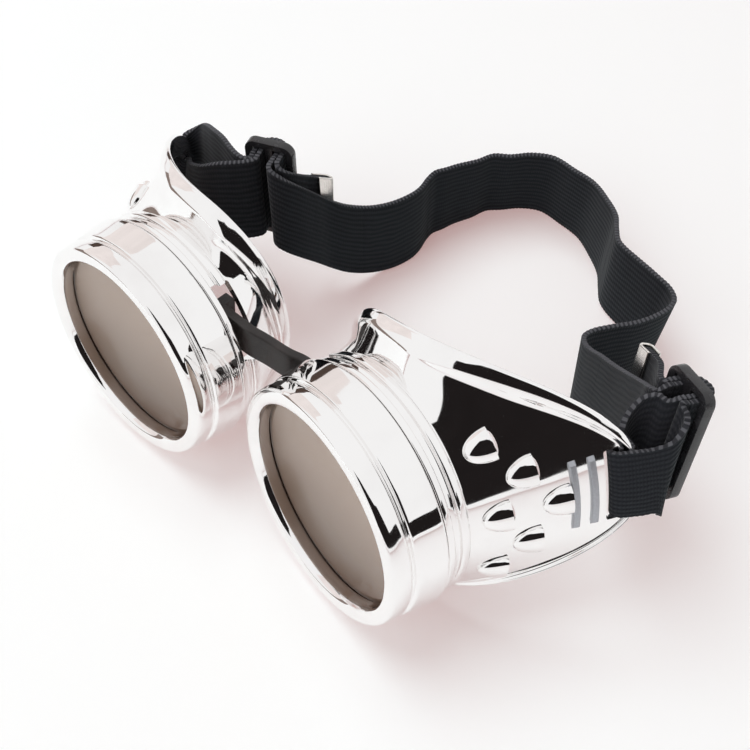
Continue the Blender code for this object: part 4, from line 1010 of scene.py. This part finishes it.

# %% [markdown]
# On each side the elastic goes from the slider through the slot of the cup and back. In the slot
# it is gathered to about three fifths of its width, and it opens again toward the slider.

# %% Strap loops
LOOP_ROUTES = {
    "left": (
        (-46.5, -10.1, 39.3, 0, 0, 12.7), (-45.9, -11.5, 39.3), (-46.4, -13.0, 39.3),
        (-48.4, -15.6, 39.3), (-52.1, -18.6, 39.0, 0.1, 0, 12.5),
        (-57.1, -20.2, 37.6, 0.4, 0.2, 11.5), (-63.3, -19.2, 35.6, 0.8, 0.4, 10.1),
        (-68.5, -16.6, 33.5, 1.3, 0.7, 8.6), (-71.7, -14.8, 32.5, 1.5, 0.8, 7.8),
        (-72.5, -15.0, 31.9, 1.5, 0.8, 7.8, -0.52, -0.18, 0.12),
        (-73.3, -15.3, 32.1, 1.5, 0.8, 7.8, -0.58, -0.2, 0.13), (-73.8, -15.4, 32.2),
        (-74.2, -15.5, 32.3), (-74.7, -15.5, 32.4), (-75.2, -15.3, 32.5),
        (-75.6, -15.1, 32.5), (-75.9, -14.7, 32.5), (-76.1, -14.2, 32.5),
        (-78.1, -11.3, 32.6), (-79.6, -9.0, 32.7, 1.5, 0.8, 7.8, -0.29, -0.1, 0.06),
        (-78.5, -6.9, 33.2, 1.3, 0.7, 8.3), (-75.6, -5.7, 34.6, 1.0, 0.6, 9.3),
        (-70.4, -7.1, 36.6, 0.6, 0.3, 10.8), (-64.4, -9.3, 38.3, 0.2, 0.1, 12.0),
        (-58.0, -11.2, 39.3, 0, 0, 12.7), (-53.6, -12.6, 39.3), (-50.3, -13.3, 39.3),
        (-48.3, -13.1, 39.3), (-47.3, -12.0, 39.3), (-47.8, -10.6, 39.3)),
    "right": (
        (74.9, -10.7, 43.8, -0.8, 2.5, 12.4), (74.2, -12.0, 44.0), (72.7, -13.1, 43.0),
        (70.4, -13.1, 43.0), (68.6, -14.7, 42.5, -1.2, 2.3, 11.5),
        (68.6, -17.4, 41.5, -2.0, 1.9, 9.5), (70.0, -20.2, 40.7, -2.6, 1.5, 7.9),
        (70.3, -21.5, 39.1, -2.8, 1.4, 7.3, 0.48, -0.32, 0.25), (70.0, -22.0, 39.1),
        (70.0, -22.5, 39.2), (70.0, -23.0, 39.3), (70.1, -23.4, 39.4), (70.4, -23.8, 39.6),
        (70.7, -24.1, 39.8), (71.1, -24.3, 40.0), (71.6, -24.4, 40.2), (72.0, -24.3, 40.4),
        (72.5, -24.1, 40.5), (72.9, -23.8, 40.6), (75.7, -21.0, 41.1),
        (77.6, -19.0, 41.5, -2.8, 1.4, 7.3, 0.24, -0.16, 0.12),
        (79.1, -17.4, 41.5, -2.0, 1.9, 9.5), (78.7, -15.2, 42.6, -1.1, 2.4, 11.7),
        (77.4, -13.6, 43.0, -0.8, 2.5, 12.4), (75.5, -12.7, 44.2), (76.2, -11.4, 44.0))}
LOOP_BLENDS = {"left": ((-66.0, -14.0), (-50.0, -13.0)),
               "right": ((74.0, -19.5), (75.5, -12.0))}

for label, table in LOOP_ROUTES.items():
    loop = band("elastic_loop_" + label, route(table))
    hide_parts("strap_loop_" + label)
    start, end = LOOP_BLENDS[label]
    level([v * MM for v in start])
    level([v * MM for v in end])
    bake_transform(loop)

# %% [markdown]
# In the slider the elastic is wrapped round the middle bar, and the tail is folded over
# that wrap and hangs down behind. The tail ends in a folded steel clip that keeps it from
# fraying. All of these move with the slider.

# %% Wraps, tails and clips
HALF_BAND = {"left": (0.0, 0.0, 12.7), "right": (-0.8, 2.5, 12.4)}
CLIP_THICKNESS = 0.0007
CLIP_OVERHANG = 13.0 / 12.7
WRAP_ROUTES = {
    "left": (
        (-42.8, -8.2, 39.3), (-44.0, -5.2, 39.3), (-44.7, -4.3, 39.3), (-45.7, -3.9, 39.3),
        (-46.7, -4.1, 39.3), (-47.6, -4.7, 39.3), (-48.0, -5.7, 39.3), (-47.8, -6.7, 39.3),
        (-46.6, -9.8, 39.3)),
    "right": (
        (71.4, -8.6, 43.1), (73.0, -5.8, 42.6), (73.7, -5.0, 42.5), (74.7, -4.7, 42.5),
        (75.7, -4.9, 42.6), (76.5, -5.6, 42.8), (76.8, -6.6, 43.0), (76.6, -7.6, 43.2),
        (75.0, -10.5, 43.7))}
TAIL_ROUTES = {
    "left": (
        (-48.0, -10.4, 39.3), (-49.2, -7.3, 39.3), (-49.5, -6.1, 39.3), (-49.3, -4.9, 39.3),
        (-48.7, -3.8, 39.3), (-47.8, -3.0, 39.3), (-46.7, -2.5, 39.3), (-45.5, -2.4, 39.3),
        (-44.3, -2.8, 39.3), (-43.3, -3.6, 39.3), (-42.7, -4.6, 39.3), (-41.4, -7.7, 39.3),
        (-40.9, -8.8, 39.3), (-40.0, -9.5, 38.8), (-38.8, -9.0, 38.0), (-38.0, -7.2, 36.5),
        (-38.0, -4.4, 34.2), (-38.3, -1.6, 31.9), (-38.3, 0.0, 30.8), (-38.3, 1.6, 29.6),
        (-38.4, 5.5, 26.9)),
    "right": (
        (76.4, -11.2, 43.9), (77.9, -8.3, 43.5), (78.3, -7.1, 43.2), (78.2, -5.9, 43.0),
        (77.8, -4.8, 42.7), (77.0, -3.9, 42.5), (75.9, -3.4, 42.3), (74.7, -3.2, 42.2),
        (73.5, -3.5, 42.2), (72.4, -4.1, 42.3), (71.7, -5.1, 42.4), (70.1, -8.0, 42.9),
        (69.5, -9.0, 43.1), (68.5, -8.5, 42.5), (67.5, -6.9, 41.5), (66.5, -4.6, 40.2),
        (65.3, -2.1, 38.7), (63.9, 0.1, 36.9), (61.9, 2.1, 35.2), (59.1, 4.9, 32.6))}
CLIP_ROUTES = {
    "left": (
        (-37.1, 1.6, 29.6), (-37.2, 6.3, 26.3), (-37.4, 6.8, 26.0), (-37.8, 7.2, 25.7),
        (-38.5, 7.3, 25.6), (-39.1, 7.2, 25.7), (-39.5, 6.8, 26.0), (-39.7, 6.3, 26.3),
        (-39.6, 1.6, 29.6)),
    "right": (
        (62.8, 2.9, 35.0), (59.4, 6.4, 32.0), (58.9, 6.6, 31.7), (58.3, 6.6, 31.5),
        (57.7, 6.3, 31.4), (57.3, 5.8, 31.6), (57.3, 5.2, 31.9), (57.5, 4.7, 32.2),
        (61.0, 1.3, 35.3))}

for label in EYES:
    for name, table, node in (("elastic_wrap_", WRAP_ROUTES, "strap_wrap_"),
                              ("elastic_tail_", TAIL_ROUTES, "strap_tail_"),
                              ("folded_clip_", CLIP_ROUTES, "tail_clip_")):
        rows = route([spot + HALF_BAND[label] for spot in table[label]])
        if table is CLIP_ROUTES:
            rows[:, 3:6] *= CLIP_OVERHANG
            piece = band(name + label, rows, CLIP_STEEL, CLIP_THICKNESS)
        else:
            piece = band(name + label, rows)
        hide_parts(node + label)
        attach(piece, "adjuster_" + label)

# %% [markdown]
# A slider is a flat frame with rounded corners, two long windows and a bar between them.
# A cube is stretched to its size, its four corners are rounded, the windows are cut out,
# and every edge left is softened by a small bevel.

# %% Sliders
SLIDER_FRAMES = {
    "right": ((74.5, -7.21, 43.03), (0.46869, 0.87063, -0.14944), (-0.0601, 0.2002, 0.9779)),
    "left": ((-45.7, -6.51, 39.29), (-0.38206, 0.92414, 0.0), (0.0, 0.0, 1.0))}
SLIDER_SIZE = Vector((0.0129, 0.0024, 0.0300))
SLIDER_CORNER, SLIDER_EDGE = 0.0028, 0.0005
WINDOW = {"near": 0.0011, "far": 0.00465, "half": 0.0133}
WINDOW_REACH = 0.004


def slider(label):
    middle, out, up = (Vector(v) for v in SLIDER_FRAMES[label])
    sideways = out.cross(up).normalized()
    out = up.cross(sideways).normalized()
    turn = Matrix((sideways, out, up.normalized())).transposed().to_4x4()
    whole = Matrix.Translation(middle * MM) @ turn
    plate = box_tool("frame_slider_" + label, -SLIDER_SIZE / 2, SLIDER_SIZE / 2)
    mode('EDIT')
    bpy.ops.mesh.select_mode(type='EDGE')
    bpy.ops.mesh.select_all(action='DESELECT')
    mode('OBJECT')
    for edge in plate.data.edges:
        a, b = (plate.data.vertices[i].co for i in edge.vertices)
        edge.select = abs(a.y - b.y) > SLIDER_SIZE.y / 2
    mode('EDIT')
    bpy.ops.mesh.bevel(offset=SLIDER_CORNER, segments=8)
    mode('OBJECT')
    for sign in (-1, 1):
        low, high = sorted((sign * WINDOW["near"], sign * WINDOW["far"]))
        cut_out(plate, box_tool("window", (low, -WINDOW_REACH, -WINDOW["half"]),
                                (high, WINDOW_REACH, WINDOW["half"])))
    bevelled(plate, SLIDER_EDGE, 3, 40)
    plate.data.transform(whole)
    smooth(plate, 40.0)
    finished(plate, HARD_PLASTIC)
    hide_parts("strap_slider_" + label)
    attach(plate, "adjuster_" + label)
    print("slider", label, len(plate.data.polygons), "faces")


for label in EYES:
    slider(label)

# %% [markdown]
# The goggles stand on a white table in soft light. A wide lamp hangs nearly overhead,
# a little to the left, and a weaker one stands before them. The table's shadows are pink
# in the photograph: a warm glow that the camera and the mirrors see is added to a cooler
# paint, so full light sums to white and less light to pink.

# %% Table
bpy.ops.mesh.primitive_plane_add(size=8.0, location=(0, 0, 0))
table = bpy.context.object
table.name = "white_table"
white = Finish("white_table", (0.655, 0.84, 0.85), 0.6, Specular_IOR_Level=0.0)
seen = (white.node("LightPath", {}, {}, "Is Camera Ray")
        + white.node("LightPath", {}, {}, "Is Glossy Ray"))
paper = white.grain(0.02, 4.0) * 0.01 + 0.365
glow = white.node("Emission", {}, {"Color": (1.0, 0.54, 0.51, 1.0), "Strength": seen * paper})
total = white.node("AddShader", {}, {0: Wire(white.shader.outputs[0]), 1: glow})
feed(white.tree.nodes["Material Output"].inputs[0], total)
table.data.materials.append(white.material)
table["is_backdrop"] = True

# %% [markdown]
# A mirror has no colour of its own, so it needs something to show. The world is white, as
# a light tent is. A dark room opens at the right and in front, the tent's wall is a little
# darker at the left, and two dark corners lie low beside it. These screens are seen by the
# reflections alone, so they throw no shadow and never come into a view.

# %% Lamps, world and dark screens
AIM = Vector((0.0, 0.0, 0.02))


def lamp(name, place, size, watts):
    light = bpy.data.lights.new(name, 'AREA')
    light.shape = 'DISK'
    light.size = size
    light.energy = watts
    obj = bpy.data.objects.new(name, light)
    bpy.context.scene.collection.objects.link(obj)
    obj.location = place
    obj.rotation_euler = (AIM - Vector(place)).to_track_quat('-Z', 'Y').to_euler()
    obj.visible_glossy = False


lamp("window_light", (-0.62, -0.08, 1.65), 1.5, 20.0)
lamp("front_light", (-0.10, -1.40, 1.10), 1.6, 10.0)

world = bpy.data.worlds.new("light_tent")
bpy.context.scene.world = world
world.use_nodes = True
tent = world.node_tree
tent.nodes.clear()


def background(colour, strength):
    node = tent.nodes.new("ShaderNodeBackground")
    feed(node.inputs["Color"], (*colour, 1.0))
    feed(node.inputs["Strength"], strength)
    return Wire(node.outputs[0])


output = tent.nodes.new("ShaderNodeOutputWorld")
rays = tent.nodes.new("ShaderNodeLightPath")
seen, glossy, through = (Wire(rays.outputs["Is " + kind + " Ray"])
                         for kind in ("Camera", "Glossy", "Transmission"))
for other in (glossy, through):
    seen = seen.math("MAXIMUM", seen, other)
choice = tent.nodes.new("ShaderNodeMixShader")
for slot, value in zip(choice.inputs, (seen, background((1.0, 0.98, 0.98), 0.24),
                                       background((1.0, 1.0, 1.0), 0.95))):
    feed(slot, value)
feed(output.inputs[0], Wire(choice.outputs[0]))

SCREENS = {
    # name: (its colour, and then azimuth, lowest and highest elevation, in degrees)
    "dark_room": ((0.012, 0.010, 0.010), (-75, 6, 60), (-50, 5, 60), (-26, 5, 48),
                  (-11, 4, 40), (-9, 4, 16), (12, 3, 15)),
    "brown_corner": ((0.07, 0.048, 0.040), (126, 3, 13), (162, 3, 13)),
    "pale_wall": ((0.76, 0.70, 0.68), (150, 13, 52), (205, 13, 52)),
    "grey_corner": ((0.22, 0.175, 0.155), (-178, 0.5, 14), (-150, 0.5, 11), (-120, 0.5, 5))}
SCREEN_ROWS, SCREEN_COLUMNS = 8, 48
SCREEN_DISTANCE = 1.6
BRIGHTEST = 1.3


def screen(name, colour, *stations):
    azimuths, lows, highs = zip(*stations)

    def place(row, column):
        degrees = azimuths[0] + (azimuths[-1] - azimuths[0]) * column / SCREEN_COLUMNS
        low, high = np.interp(degrees, azimuths, lows), np.interp(degrees, azimuths, highs)
        around = math.radians(degrees)
        up = math.radians(low + (high - low) * row / SCREEN_ROWS)
        return Vector((math.cos(around) * math.cos(up), math.sin(around) * math.cos(up),
                       math.sin(up))) * SCREEN_DISTANCE

    sheet = laid_grid(name, SCREEN_ROWS, SCREEN_COLUMNS, place)
    card = Finish(name, (0.0, 0.0, 0.0), 0.9, Specular_IOR_Level=0.0, Emission_Strength=1.0)
    bright = tuple(BRIGHTEST * value for value in colour)
    card.set("Emission Color", card.mixed(card.grain(0.3), colour, bright))
    sheet.data.materials.append(card.material)
    sheet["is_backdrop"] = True
    sheet.visible_camera = False
    sheet.visible_diffuse = False
    sheet.visible_shadow = False
    sheet.visible_transmission = False


for name, numbers in SCREENS.items():
    screen(name, *numbers)
print("screens:", len(SCREENS))

# %% [markdown]
# The view transform is the plain one, so a white table stays white. The last cell prints the size
# of the imported model and of the dressed one.

# %% Sizes and finish
bpy.context.scene.view_settings.view_transform = 'Standard'
dressed_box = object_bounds()
for name, box in (("packed", cad_box), ("dressed", dressed_box)):
    print(name, "size in mm:", [round((box[1][i] - box[0][i]) / MM, 1) for i in range(3)])
